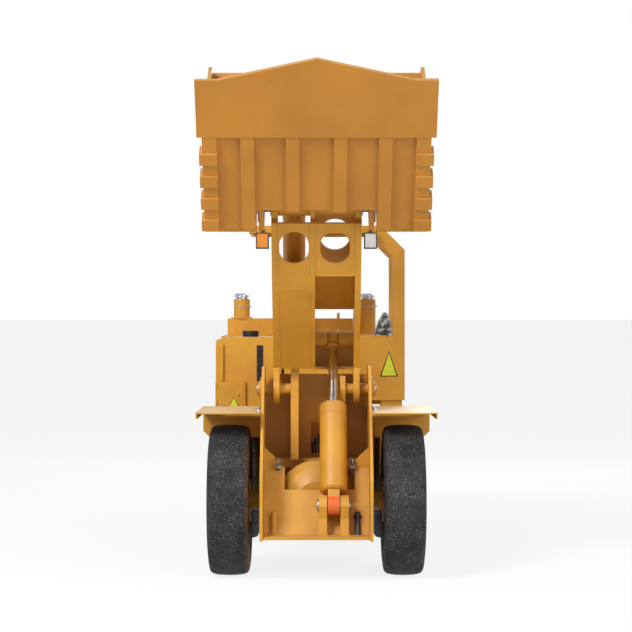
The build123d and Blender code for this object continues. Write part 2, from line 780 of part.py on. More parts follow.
# Steering cylinders beside the hinge, their rod eyes in clevises on the front frame
for side_name, side in sides:
    x = side * steer_x
    foot_y = y_of(steer_foot)
    head_y = y_of(steer_head)
    with BuildPart() as steer_barrel:
        with Locations((x, foot_y, steer_height)):
            Cylinder(34, steer_eye_width)
        for radius, start, end in ((24, 0, steer_barrel_start + 1), (steer_barrel_radius, steer_barrel_start, steer_barrel_end)):
            with BuildSketch(Plane.XZ.offset(-foot_y + start)):
                with Locations((x, steer_height)):
                    Circle(radius)
            extrude(amount=end - start)
        with BuildSketch(Plane.XZ.offset(-foot_y + steer_barrel_start + 17)):
            with Locations((x, steer_height)):
                Circle(steer_rod_radius + 1)
        extrude(amount=steer_barrel_end, mode=Mode.SUBTRACT)
        with Locations((x, foot_y, steer_height)):
            Cylinder(steer_pin, steer_eye_width + 2, mode=Mode.SUBTRACT)
    save(steer_barrel, f"steer_barrel_{side_name}")
    with BuildPart() as steer_rod:
        with Locations((x, head_y, steer_height)):
            Cylinder(32, steer_eye_width)
        with BuildSketch(Plane.XZ.offset(-head_y - steer_rod_length)):
            with Locations((x, steer_height)):
                Circle(steer_rod_radius)
        extrude(amount=steer_rod_length - 20)
    save(steer_rod, f"steer_rod_{side_name}")

# Left side boxes, with a smaller locker ahead of the tank
with BuildPart() as side_tank:
    block(tank_outer_x, -270, -2180, rear_face_reach, box_low, box_high - 14)
    fillet(side_tank.edges().filter_by(Axis.Y).group_by(Axis.Z)[-1].sort_by(Axis.X)[0], 26)
    block(tank_outer_x + 45, -290, -2160, rear_face_reach - 40, box_high - 14, box_high)
save(side_tank, "side_tank")
with BuildPart() as locker:
    block(tank_outer_x, -545, rear_face_reach, rear_face_reach + 60, box_low, 1316)
    block(-545, -430, rear_face_reach, rear_face_reach + 30, box_low, 1306)
save(locker, "front_locker")

# Operator's compartment: an open-topped tub with a raised seat pan over the wheel
pan_x = 400
pan_height = 1172
inner_back = cab_back_reach + wall
inner_front = cab_front_reach - wall
with BuildPart() as cab_tub:
    block(cab_inner_x, cab_outer_x, cab_back_reach, cab_front_reach, cab_floor, box_high)
    block(pan_x - 56, cab_outer_x + 1, cab_back_reach - 1, cab_front_reach + 1, cab_floor - 1, pan_height,
          mode=Mode.SUBTRACT)
    block(cab_inner_x + wall, pan_x - 56 - wall, inner_back, inner_front, cab_floor + wall, box_high + 1,
          mode=Mode.SUBTRACT)
    block(pan_x - 57 - wall, cab_outer_x - wall, inner_back, inner_front, pan_height + wall, box_high + 1,
          mode=Mode.SUBTRACT)
    # Step-in opening through the outer wall
    block(cab_outer_x - wall - 1, cab_outer_x + 1, -1660, -1400, pan_height + 120, box_high + 1, mode=Mode.SUBTRACT)
save(cab_tub, "cab_tub")
console_low = cab_inner_x + wall
with BuildPart() as console:
    block(console_low, console_low + 130, -1900, -1420, cab_floor + wall, 1420)
    chamfer(console.edges().filter_by(Axis.Y).group_by(Axis.Z)[-1].sort_by(Axis.X)[-1], 60)
    for reach in (-1560, -1660):
        with Locations((console_low + 40, y_of(reach), 1420 + 60)):
            Cylinder(9, 140)
        with Locations((console_low + 40, y_of(reach), 1420 + 140)):
            Sphere(22)
save(console, "control_console")

# Seat, turned to face across the machine
seat_reach = -1800
cushion_low = pan_height + wall + 90
cushion_high = cushion_low + 110
with BuildPart() as seat_base:
    block(400, 560, seat_reach - 170, seat_reach + 170, pan_height + wall, cushion_low)
save(seat_base, "seat_base")
with BuildPart() as seat_cushion:
    block(330, 620, seat_reach - 225, seat_reach + 225, cushion_low, cushion_high)
    fillet(seat_cushion.edges().filter_by(Axis.Z), 40)
save(seat_cushion, "seat_cushion")
seat_outline = [
    # x, height
    (490, cushion_high),
    (620, cushion_high),
    (600, 1700),
    (582, 1835),
    (548, 1862),
    (500, 1822),
    (450, 1640),
    (430, 1500),
]
with BuildPart() as seat_back:
    with BuildSketch(Plane.XZ.offset(-y_of(seat_reach))):
        with BuildLine():
            Polyline(*seat_outline, close=True)
        make_face()
    extrude(amount=215, both=True)
save(seat_back, "seat_back")

# Canopy over the operator on four posts, the right ones bent in below the roof
canopy_front = cab_front_reach
canopy_back = cab_back_reach
foot_plate = 12
roof_low = 2500
roof_high = 2516
roof_half = 520
bent_post = [
    # x, height
    (cab_outer_x - post_width, box_high + foot_plate),
    (cab_outer_x, box_high + foot_plate),
    (cab_outer_x, 2330),
    (roof_half - 10, roof_low),
    (roof_half - 150, roof_low),
    (cab_outer_x - post_width, 2285),
]
with BuildPart() as canopy:
    for post_back in (canopy_front - post_width, canopy_back):
        with BuildSketch(Plane.XZ.offset(-y_of(post_back))):
            with BuildLine():
                Polyline(*bent_post, close=True)
            make_face()
        extrude(amount=post_width)
        block(cab_inner_x, cab_inner_x + 90, post_back, post_back + post_width, box_high + foot_plate, roof_low)
        block(cab_inner_x, cab_inner_x + 130, post_back, post_back + post_width, box_high, box_high + foot_plate)
        block(cab_outer_x - 130, cab_outer_x, post_back, post_back + post_width, box_high, box_high + foot_plate)
    block(-roof_half, roof_half, canopy_back, canopy_front, roof_low, roof_high)
    for low, high in ((canopy_front - 30, canopy_front), (canopy_back, canopy_back + 30)):
        block(-roof_half, roof_half, low, high, roof_low - 40, roof_low)
    block(-roof_half, -roof_half + 30, canopy_back, canopy_front, roof_low - 40, roof_low)
save(canopy, "canopy")

# Lamps hung from the canopy's front edge and set in the back of the hood
lamps = [
    # name, centre x, centre height, reach of the back, depth, half width, half height
    ("lamp_front_left", -415, 2398, canopy_front, 70, 50, 62),
    ("lamp_front_right", 415, 2398, canopy_front, 70, 50, 62),
    ("lamp_rear_left", -640, 1540, -3520, -36, 60, 44),
    ("lamp_rear_right", 560, 1540, -3520, -36, 60, 44),
]
for name, x, height, back, depth, half_x, half_z in lamps:
    with BuildPart() as lamp:
        low, high = sorted((back, back + depth))
        block(x - half_x, x + half_x, low, high, height - half_z, height + half_z)
        if depth > 0:
            block(x - 12, x + 12, back, back + 20, height + half_z, roof_low - 10)
            block(x - half_x + 8, x + half_x - 8, high - 6, high + 1, height - half_z + 8, height + half_z - 8,
                  mode=Mode.SUBTRACT)
        else:
            block(x - half_x + 8, x + half_x - 8, low - 1, low + 6, height - half_z + 8, height + half_z - 8,
                  mode=Mode.SUBTRACT)
    save(lamp, name)

# Engine hood: a thin-walled box with a raised middle, open below
hood_front = -2200
hood_back = -3520
hood_wall = 8
hood_steps = [
    # low x, high x, back, front, low height, high height
    (tank_outer_x, cab_outer_x, hood_back, hood_front, box_low, box_high),
    (-730, 300, hood_back + 80, hood_front - 150, box_high - 40, hood_high),
]
with BuildPart() as engine_hood:
    for x_low, x_high, back, front, z_low, z_high in hood_steps:
        block(x_low, x_high, back, front, z_low, z_high)
    for x_low, x_high, back, front, z_low, z_high in hood_steps:
        block(x_low + hood_wall, x_high - hood_wall, back + hood_wall, front - hood_wall, z_low - 1,
              z_high - hood_wall, mode=Mode.SUBTRACT)
    # Grille opening in the back and cooling slots in both sides
    block(-400, 400, hood_back - 1, hood_back + hood_wall + 1, 1160, 1600, mode=Mode.SUBTRACT)
    for row in range(8):
        reach = -3300 + 90 * row
        block(tank_outer_x - 1, cab_outer_x + 1, reach, reach + 40, 1250, 1520, mode=Mode.SUBTRACT)
save(engine_hood, "engine_hood")
with BuildPart() as grille:
    block(-430, 430, hood_back - 16, hood_back, 1130, 1630)
    block(-390, 390, hood_back - 17, hood_back + 1, 1170, 1590, mode=Mode.SUBTRACT)
    for row in range(9):
        block(-391, 391, hood_back - 14, hood_back - 2, 1192 + 44 * row, 1210 + 44 * row)
save(grille, "radiator_grille")
with BuildPart() as engine:
    block(-engine_half, engine_half, -3330, -2480, cab_floor, 1560)
save(engine, "engine_block")

# Breather stacks on the hood with their caps
stacks = [
    # side name, x, foot height
    ("left", -616, hood_high),
    ("right", 422, box_high),
]
stack_reach = -2420
stack_radius = 66
stack_top = 1960
for side_name, x, foot in stacks:
    with BuildPart() as stack:
        with BuildSketch(Plane.XY.offset(foot)):
            with Locations((x, y_of(stack_reach))):
                Circle(stack_radius)
        extrude(amount=stack_top - foot)
        with BuildSketch(Plane.XY.offset(foot)):
            with Locations((x, y_of(stack_reach))):
                Circle(stack_radius + 22)
        extrude(amount=10)
    save(stack, f"breather_{side_name}")
    with BuildPart() as cap:
        for radius, low, high in ((40, stack_top, stack_top + 14), (60, stack_top + 14, stack_top + 45)):
            with BuildSketch(Plane.XY.offset(low)):
                with Locations((x, y_of(stack_reach))):
                    Circle(radius)
            extrude(amount=high - low)
        chamfer(cap.edges().group_by(Axis.Z)[-1], 12)
    save(cap, f"breather_cap_{side_name}")

# Two-tread step below the operator's side
step_height = 560
with BuildPart() as step:
    for reach in (-1350, -1650):
        block(500, 660, reach, reach + 12, step_height, pan_height)
    for height in (step_height, 860):
        block(500, 660, -1650, -1338, height, height + 12)
save(step, "side_step")
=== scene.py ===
import math
import random
import bmesh
import bpy
from mathutils import Matrix, Vector


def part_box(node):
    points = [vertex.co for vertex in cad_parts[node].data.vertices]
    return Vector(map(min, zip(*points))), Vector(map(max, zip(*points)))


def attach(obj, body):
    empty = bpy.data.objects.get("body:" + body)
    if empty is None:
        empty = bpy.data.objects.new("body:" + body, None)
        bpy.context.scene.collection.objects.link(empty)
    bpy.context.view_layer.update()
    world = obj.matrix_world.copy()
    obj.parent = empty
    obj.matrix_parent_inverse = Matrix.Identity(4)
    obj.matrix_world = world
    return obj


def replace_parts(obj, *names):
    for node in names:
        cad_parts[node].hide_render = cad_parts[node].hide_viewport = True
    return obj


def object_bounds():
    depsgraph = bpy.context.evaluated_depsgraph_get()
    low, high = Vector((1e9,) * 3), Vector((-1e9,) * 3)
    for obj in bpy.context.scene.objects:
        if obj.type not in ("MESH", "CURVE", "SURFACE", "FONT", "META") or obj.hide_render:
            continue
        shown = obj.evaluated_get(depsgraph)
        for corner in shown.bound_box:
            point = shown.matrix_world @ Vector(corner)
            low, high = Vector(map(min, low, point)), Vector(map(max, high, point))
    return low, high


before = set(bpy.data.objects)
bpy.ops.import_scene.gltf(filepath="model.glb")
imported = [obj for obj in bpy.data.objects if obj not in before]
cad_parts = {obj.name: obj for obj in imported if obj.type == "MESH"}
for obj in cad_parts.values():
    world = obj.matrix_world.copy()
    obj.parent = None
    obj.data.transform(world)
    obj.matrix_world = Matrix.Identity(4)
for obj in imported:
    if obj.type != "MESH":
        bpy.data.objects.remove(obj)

bl_info = {
    "name": "Underground loader finish",
    "version": (1, 0, 0),
    "blender": (4, 5, 0),
    "location": "3D View > Sidebar > Loader",
    "description": "Dresses the packed mining loader with its paint, welds, bolts, seat, plates and studio",
    "category": "Add Mesh",
}

CAD_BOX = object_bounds()

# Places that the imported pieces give, in metres
TANK_LOW, TANK_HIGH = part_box("side_tank")
CAB_LOW, CAB_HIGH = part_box("cab_tub")
HOOD_LOW, HOOD_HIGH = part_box("engine_hood")
CANOPY_LOW, CANOPY_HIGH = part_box("canopy")
LOCKER_LOW, LOCKER_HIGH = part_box("front_locker")
FRONT_AXLE_Y = sum(corner[1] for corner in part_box("front_axle")) / 2
FRONT_AXLE_Z = sum(corner[2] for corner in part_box("front_axle")) / 2
REAR_AXLE_Y = sum(corner[1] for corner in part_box("rear_axle")) / 2

# Driving places of the machine, as (reach ahead of the front axle, height)
KNEE = (0.360, 2.000)
HINGE = (0.585, 2.5588)
PIVOT = (-0.200, 1.300)
LIFT_FOOT = (0.360, 0.520)
LIFT_EYE = (-0.300, 1.655)
TILT_FOOT = (-0.200, 1.501)
TILT_EYE = (0.3918, 2.7327)
BUCKET_HEEL = (0.727, 2.330)
BUCKET_LIP = (1.456, 3.320)
BOOM_FOOT = (-0.104, 1.452)
PLATE_FOOT = (0.355, 0.300)
PLATE_TOP = (0.093, 0.766)

LIFT_X = 0.118
TILT_X = -0.155
WHEEL_X = 0.607
BOOM_HALF = 0.305
BOOM_HEAD_RADIUS = 0.090
FRAME_HALF = 0.386
GAP = 0.0006
SIDES = (("left", -1), ("right", 1))
WHEELS = [
    (f"{axle}_{side_name}", side, axle_y)
    for axle, axle_y in (("front", FRONT_AXLE_Y), ("rear", REAR_AXLE_Y))
    for side_name, side in SIDES
]
X_AXIS = Vector((1, 0, 0))
Z_AXIS = Vector((0, 0, 1))

# The photograph's camera
PHOTO_SIDE = 632.0
LENS_PIXELS = 1988.0
HORIZON_ROW = 316.0
CENTRE_COLUMN = 316.5
CAMERA_HEIGHT = 1.82
CAMERA_REACH = 14.0
SENSOR_MM = 36.0

MATERIALS = {}


def srgb(code):
    """A linear colour with alpha from a hex code."""
    channels = [int(code[i:i + 2], 16) / 255 for i in (0, 2, 4)]
    linear = [c / 12.92 if c <= 0.04045 else ((c + 0.055) / 1.055) ** 2.4 for c in channels]
    return (*linear, 1.0)


def grey(level):
    """A grey with alpha."""
    return (level, level, level, 1.0)


def reach(distance):
    """Y of a place a distance ahead of the front axle."""
    return FRONT_AXLE_Y - distance


def spot(x, place):
    """A point from x and a (reach, height) place."""
    return Vector((x, reach(place[0]), place[1]))


def photo_x(column, y):
    """X of a photo column on an upright plane at y."""
    return (column - CENTRE_COLUMN) * (y - reach(CAMERA_REACH)) / LENS_PIXELS


def photo_z(row, y):
    """Height of a photo row on an upright plane at y."""
    return CAMERA_HEIGHT + (HORIZON_ROW - row) * (y - reach(CAMERA_REACH)) / LENS_PIXELS


def on_way(start, end, distance, side=0.0):
    """The place at a distance from start towards end, moved to the left of that way."""
    way = Vector((end[0] - start[0], end[1] - start[1])).normalized()
    return (start[0] + way.x * distance - way.y * side, start[1] + way.y * distance + way.x * side)


def way_vector(start, end):
    """The direction in space from one (reach, height) place to another."""
    return (spot(0, end) - spot(0, start)).normalized()


def facing(place, axis, turn=0.0):
    """A matrix that takes local Z to an axis at a place, turned about it."""
    tilted = Vector(axis).normalized().to_track_quat("Z", "Y").to_matrix().to_4x4()
    return Matrix.Translation(place) @ tilted @ Matrix.Rotation(turn, 4, "Z")


def new_object(name, data):
    made = bpy.data.objects.new(name, data)
    bpy.context.scene.collection.objects.link(made)
    return made


def mesh_from(bm, name, smooth=False):
    """The mesh of a bmesh, which is freed."""
    mesh = bpy.data.meshes.new(name)
    bm.to_mesh(mesh)
    bm.free()
    for polygon in mesh.polygons:
        polygon.use_smooth = smooth
    return mesh


def object_from(bm, name, finish, body="rear_chassis", smooth=False):
    """A finished piece from a bmesh, with its place in its mesh, riding on a body."""
    bmesh.ops.recalc_face_normals(bm, faces=bm.faces[:])
    mesh = mesh_from(bm, name, smooth)
    mesh.materials.append(MATERIALS[finish])
    made = new_object(name, mesh)
    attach(made, body)
    return made


def joined(name, meshes_and_places, finish, body="rear_chassis"):
    """One piece from several meshes, each put at its own matrix."""
    bm = bmesh.new()
    for mesh, matrix in meshes_and_places:
        copy = mesh.copy()
        copy.transform(matrix)
        bm.from_mesh(copy)
        bpy.data.meshes.remove(copy)
    object_from(bm, name, finish, body)


def add_box(bm, low, high, bevel=0.0):
    """A box between two corners, with its edges cut if a bevel is given."""
    size = [high[i] - low[i] for i in range(3)]
    centre = [(high[i] + low[i]) / 2 for i in range(3)]
    made = bmesh.ops.create_cube(bm, size=1.0, matrix=Matrix.Translation(centre) @ Matrix.Diagonal((*size, 1.0)))
    if bevel:
        edges = list({edge for vertex in made["verts"] for edge in vertex.link_edges})
        bmesh.ops.bevel(bm, geom=edges, offset=bevel, segments=2, affect="EDGES", profile=0.6)


def add_round(bm, start, end, radius, end_radius=None, sides=24):
    """A round bar or cone between two places."""
    start, end = Vector(start), Vector(end)
    bmesh.ops.create_cone(
        bm,
        cap_ends=True,
        segments=sides,
        radius1=radius,
        radius2=radius if end_radius is None else end_radius,
        depth=(end - start).length,
        matrix=facing((start + end) / 2, end - start),
    )


def add_skin(bm, rows):
    """Joins rows of points one after the other into a tube with closed ends."""
    count = len(rows[0])
    for low, high in zip(rows, rows[1:]):
        for j in range(count):
            bm.faces.new((low[j], low[(j + 1) % count], high[(j + 1) % count], high[j]))
    bm.faces.new(rows[0][::-1])
    bm.faces.new(rows[-1])


def add_hoop(bm, rows):
    """Joins rows of points into a ring that closes on itself."""
    count = len(rows[0])
    for i, first in enumerate(rows):
        second = rows[(i + 1) % len(rows)]
        for j in range(count):
            bm.faces.new((first[j], second[j], second[(j + 1) % count], first[(j + 1) % count]))


def add_ring(bm, centre, axis, radius, thickness, sides=48, section=8):
    """A round ring about an axis."""
    matrix = facing(centre, axis)
    rows = []
    for i in range(sides):
        around = math.tau * i / sides
        row = []
        for j in range(section):
            turn = math.tau * j / section
            distance = radius + thickness * math.cos(turn)
            point = (distance * math.cos(around), distance * math.sin(around), thickness * math.sin(turn))
            row.append(bm.verts.new(matrix @ Vector(point)))
        rows.append(row)
    add_hoop(bm, rows)


def add_bead(bm, start, end, radius):
    """A weld bead between two places, with its ripples."""
    ripple, sides, wide, narrow, end_taper = 0.011, 6, 1.22, 0.88, 0.35
    start, end = Vector(start), Vector(end)
    turn = (end - start).to_track_quat("Z", "Y").to_matrix()
    rings = max(4, int((end - start).length / ripple * 2))
    rows = []
    for i in range(rings + 1):
        swell = wide if i % 2 else narrow
        taper = end_taper if i in (0, rings) else 1.0
        row = []
        for j in range(sides):
            angle = math.tau * j / sides
            offset = Vector((math.cos(angle), math.sin(angle), 0)) * radius * swell * taper
            row.append(bm.verts.new(start.lerp(end, i / rings) + turn @ offset))
        rows.append(row)
    add_skin(bm, rows)


def add_pipe(bm, places, radius, sides=10):
    """A steel pipe through places, with its bends cut as mitres."""
    points = [Vector(place) for place in places]
    slanted = Vector((0.31, 0.17, 0.93))
    rows = []
    for i, point in enumerate(points):
        before = (point - points[i - 1]).normalized() if i else (points[1] - point).normalized()
        after = (points[i + 1] - point).normalized() if i < len(points) - 1 else before
        along = (before + after).normalized()
        side = along.cross(slanted).normalized()
        up = side.cross(along)
        wide = radius / max(0.5, along.dot(before))
        turns = [math.tau * j / sides for j in range(sides)]
        rows.append([bm.verts.new(point + (side * math.cos(turn) + up * math.sin(turn)) * wide) for turn in turns])
    add_skin(bm, rows)


def link_node(tree, kind, inputs=None, **settings):
    """Adds a shader node, sets it, and gives its inputs values or links."""
    node = tree.nodes.new(kind)
    for name, value in settings.items():
        setattr(node, name, value)
    for name, value in (inputs or {}).items():
        socket = node.inputs[name]
        if isinstance(value, bpy.types.NodeSocket):
            tree.links.new(value, socket)
        else:
            socket.default_value = value
    return node


def worked(tree, operation, first, second):
    """What a math node makes of two values."""
    return link_node(tree, "ShaderNodeMath", {0: first, 1: second}, operation=operation).outputs[0]


def part_of(tree, vector, letter):
    """One coordinate of a vector."""
    return link_node(tree, "ShaderNodeSeparateXYZ", {"Vector": vector}).outputs[letter]


def mixed(tree, factor, first, second):
    """Two colours mixed by a factor."""
    return link_node(tree, "ShaderNodeMix", {0: factor, 6: first, 7: second}, data_type="RGBA").outputs[2]


def ramp(tree, factor, low, high):
    """Greys that run from one (place, level) stop to another."""
    node = link_node(tree, "ShaderNodeValToRGB", {"Fac": factor})
    for element, (place, level) in zip(node.color_ramp.elements, (low, high)):
        element.position = place
        element.color = grey(level)
    return node.outputs["Color"]


def noise(tree, coordinates, size_mm, detail=4.0, roughness=0.55, stretch=(1, 1, 1)):
    """Noise whose features are about a size in millimetres."""
    scaled = link_node(tree, "ShaderNodeMapping", {"Vector": coordinates, "Scale": stretch}).outputs["Vector"]
    texture = {"Vector": scaled, "Scale": 1000 / size_mm, "Detail": detail, "Roughness": roughness}
    return link_node(tree, "ShaderNodeTexNoise", texture).outputs["Fac"]


def cloud(tree, coordinates, low, high, *texture):
    """Soft patches: noise between two (place, level) stops."""
    return ramp(tree, noise(tree, coordinates, *texture), low, high)


def start_material(name):
    """A cleared material with its object coordinates."""
    material = bpy.data.materials.new(name)
    material.use_nodes = True
    tree = material.node_tree
    tree.nodes.clear()
    return material, tree, link_node(tree, "ShaderNodeTexCoord").outputs["Object"]


def finish_surface(tree, shader_inputs, bump, strength, depth):
    """Closes a material with a shader and its bump."""
    bumped = link_node(tree, "ShaderNodeBump", {"Strength": strength, "Distance": depth, "Height": bump})
    shader_inputs["Normal"] = bumped.outputs["Normal"]
    shader = link_node(tree, "ShaderNodeBsdfPrincipled", shader_inputs)
    link_node(tree, "ShaderNodeOutputMaterial", {"Surface": shader.outputs["BSDF"]})


def enamel(name, colour, shade, dust="CDBB93", gloss=0.38, wear=0.5, dust_amount=0.35):
    """Sprayed enamel on steel plate: even and half glossy, with dust on what faces up, faint runs and rust spots."""
    material, tree, place = start_material(name)
    patches = cloud(tree, place, (0.36, 0), (0.66, 1), 420)
    base = mixed(tree, patches, srgb(colour), srgb(shade))
    runs = cloud(tree, place, (0.56, 0), (0.78, 0.4), 46, 5.0, 0.6, (1, 1, 0.09))
    base = mixed(tree, runs, base, srgb(shade))
    rust_spots = cloud(tree, place, (0.67, 0), (0.71, wear), 17, 7.0, 0.68)
    base = mixed(tree, rust_spots, base, srgb("5B3418"))
    upward = part_of(tree, link_node(tree, "ShaderNodeNewGeometry").outputs["Normal"], "Z")
    lying = ramp(tree, upward, (0.35, 0), (0.95, dust_amount))
    drift = cloud(tree, place, (0.3, 0.25), (0.7, 1), 130, 6.0, 0.62)
    base = mixed(tree, worked(tree, "MULTIPLY", lying, drift), base, srgb(dust))
    rough = cloud(tree, place, (0.3, gloss), (0.75, gloss + 0.2), 85, 5.0)
    peel = noise(tree, place, 7, 3.0)
    finish_surface(tree, {"Base Color": base, "Roughness": rough, "IOR": 1.5}, peel, 0.12, 0.0012)
    return material


def enamel_with_painted_reflection(name, colour, shade, reflected_red, reflection_top):
    """Enamel with a painted reflection: below a ragged line at a height the colour turns orange-red, standing for the
    reddish light reflected onto the foot of a cylinder.
    """
    material = enamel(name, colour, shade)
    tree = material.node_tree
    place = tree.nodes["Texture Coordinate"].outputs["Object"]
    # painted reflection: orange-red is mixed in below the height, along a ragged edge
    ragged = worked(tree, "MULTIPLY", noise(tree, place, 30), 0.03)
    edge = worked(tree, "ADD", part_of(tree, place, "Z"), ragged)
    painted_reflection_mask = worked(tree, "LESS_THAN", edge, reflection_top)
    base_socket = tree.nodes["Principled BSDF"].inputs["Base Color"]
    tree.links.new(mixed(tree, painted_reflection_mask, base_socket.links[0].from_socket, srgb(reflected_red)), base_socket)
    return material


def rubber(name, overspray_x=None):
    """Worn tyre rubber: matt black, greyed by rock dust, with pale chips in the tread."""
    material, tree, place = start_material(name)
    greyed = cloud(tree, place, (0.38, 0), (0.72, 0.55), 160, 6.0, 0.65)
    base = mixed(tree, greyed, srgb("121317"), srgb("3A3A3C"))
    chips = cloud(tree, place, (0.565, 0), (0.62, 0.8), 9, 8.0, 0.75)
    patches = cloud(tree, place, (0.36, 0.15), (0.54, 1), 95, 4.0)
    base = mixed(tree, worked(tree, "MULTIPLY", chips, patches), base, srgb("9C9A96"))
    if overspray_x is not None:
        span = {"From Min": overspray_x - 0.035, "From Max": overspray_x + 0.02, "To Max": 0.62}
        near = link_node(tree, "ShaderNodeMapRange", {"Value": part_of(tree, place, "X"), **span})
        drift = cloud(tree, place, (0.35, 0.1), (0.7, 1), 60, 5.0)
        amount = worked(tree, "MULTIPLY", near.outputs["Result"], drift)
        base = mixed(tree, amount, base, srgb("B98330"))
    grain = noise(tree, place, 4, 5.0, 0.7)
    rough = cloud(tree, place, (0.3, 0.68), (0.7, 0.92), 70)
    finish_surface(tree, {"Base Color": base, "Roughness": rough, "IOR": 1.5}, grain, 0.4, 0.002)
    return material


def bare_metal(name, colour, roughness, grain_mm):
    """Bare steel or plated metal: bright, with faint handling marks and some grime."""
    material, tree, place = start_material(name)
    marks = cloud(tree, place, (0.55, 0), (0.8, 0.5), grain_mm, 6.0, 0.6)
    base = mixed(tree, marks, srgb(colour), srgb("4A443C"))
    spread = cloud(tree, place, (0.3, roughness), (0.75, roughness + 0.16), 25, 5.0)
    scratches = noise(tree, place, 5, 4.0, 0.6)
    finish_surface(tree, {"Base Color": base, "Roughness": spread, "Metallic": 1.0}, scratches, 0.06, 0.0006)
    return material


def moulded(name, colour, worn, roughness, grain_mm=2.5, coat=0.0):
    """Moulded plastic, vinyl or cast housing: even, with a fine grain and rubbed patches."""
    material, tree, place = start_material(name)
    rubbed = cloud(tree, place, (0.42, 0), (0.75, 0.6), 75, 5.0)
    base = mixed(tree, rubbed, srgb(colour), srgb(worn))
    rough = cloud(tree, place, (0.3, roughness), (0.7, roughness + 0.15), 50)
    surface = {"Base Color": base, "Roughness": rough, "IOR": 1.49, "Coat Weight": coat}
    finish_surface(tree, surface, noise(tree, place, grain_mm, 3.0), 0.2, 0.0008)
    return material


def clear_film(name):
    """Thin polythene wrap: glossy and almost clear, with fine creases; white streaks along them are painted
    highlights over the film's faint milky tint.
    """
    material, tree, place = start_material(name)
    creases = noise(tree, place, 24, 6.0, 0.7, (1, 0.4, 1))
    # painted highlights: white streaks along the creases, over a faint milky tint of the film
    streaks_and_sheen = cloud(tree, place, (0.5, 0.05), (0.6, 0.65), 34, 6.0, 0.7, (0.6, 0.3, 1))
    surface = {
        "Base Color": srgb("E8EEF2"), "Roughness": 0.14, "IOR": 1.45, "Alpha": streaks_and_sheen, "Specular IOR Level": 0.9,
    }
    finish_surface(tree, surface, creases, 0.9, 0.006)
    return material


def make_materials(yellow, shade, bucket):
    """All finishes of the machine, named for what they are."""
    # painted reflection: the lift cylinder's enamel turns orange-red up to 0.15 m above the barrel's lowest point
    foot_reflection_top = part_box("lift_barrel")[0][2] + 0.15
    sprayed_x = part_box("tyre_front_left")[1][0]
    MATERIALS.update(
        yellow_enamel=enamel("sprayed yellow enamel", yellow, shade),
        # painted shade: the bucket's enamel is the machine's yellow made darker; its extra rust spots are wear
        bucket_enamel=enamel("bucket yellow enamel with painted shade", bucket, "B0741F", gloss=0.33, wear=0.75),
        guard_enamel=enamel("mudguard yellow enamel", yellow, shade, dust="EBD5A8", dust_amount=0.75),
        # painted reflection: DA6428 is the orange-red painted on the cylinder's foot
        cylinder_enamel=enamel_with_painted_reflection("cylinder enamel with painted reflection", yellow, shade, "DA6428", foot_reflection_top),
        grey_enamel=enamel("dark grey enamel", "3B3E41", "2B2D2F", gloss=0.45, wear=0.3),
        black_enamel=enamel("black enamel", "17181A", "0E0F10", gloss=0.42, wear=0.2),
        engine_iron=enamel("painted cast iron", "5B5F60", "45484A", gloss=0.55, wear=0.6),
        tyre_rubber=rubber("worn tyre rubber"),
        sprayed_rubber=rubber("tyre rubber with overspray", sprayed_x),
        hard_chrome=bare_metal("hard chrome", "D5D8DC", 0.07, 60),
        turned_steel=bare_metal("turned steel", "9A9890", 0.34, 18),
        zinc=bare_metal("zinc plated steel", "C6C8C6", 0.3, 14),
        polished_cap=bare_metal("polished aluminium", "D0D2D4", 0.24, 22),
        vinyl=moulded("black vinyl", "16171A", "26282C", 0.4, 3.0),
        black_plastic=moulded("moulded black plastic", "141517", "222326", 0.5),
        rubber_hose=moulded("hose rubber", "191A1C", "2C2D2F", 0.6),
        red_hose=moulded("red sleeve", "B5261E", "8E1D18", 0.5),
        clear_lens=moulded("clear lens", "DADDDD", "C4C8CA", 0.12, 6.0, 0.6),
        amber_lens=moulded("amber lens", "E08A1E", "C67614", 0.15, 6.0, 0.6),
        red_lens=moulded("red lens", "B01A14", "92140F", 0.15, 6.0, 0.6),
        warning_plate=moulded("yellow green warning plate", "D8DC2A", "C3C826", 0.45),
        warning_mark=moulded("printed black", "181A16", "22241F", 0.5),
        film=clear_film("polythene film"),
    )


def evaluated_mesh(carrier):
    """The mesh that an object's modifiers make, which are then taken off."""
    bpy.context.view_layer.update()
    mesh = bpy.data.meshes.new_from_object(carrier.evaluated_get(bpy.context.evaluated_depsgraph_get()))
    carrier.modifiers.clear()
    return mesh


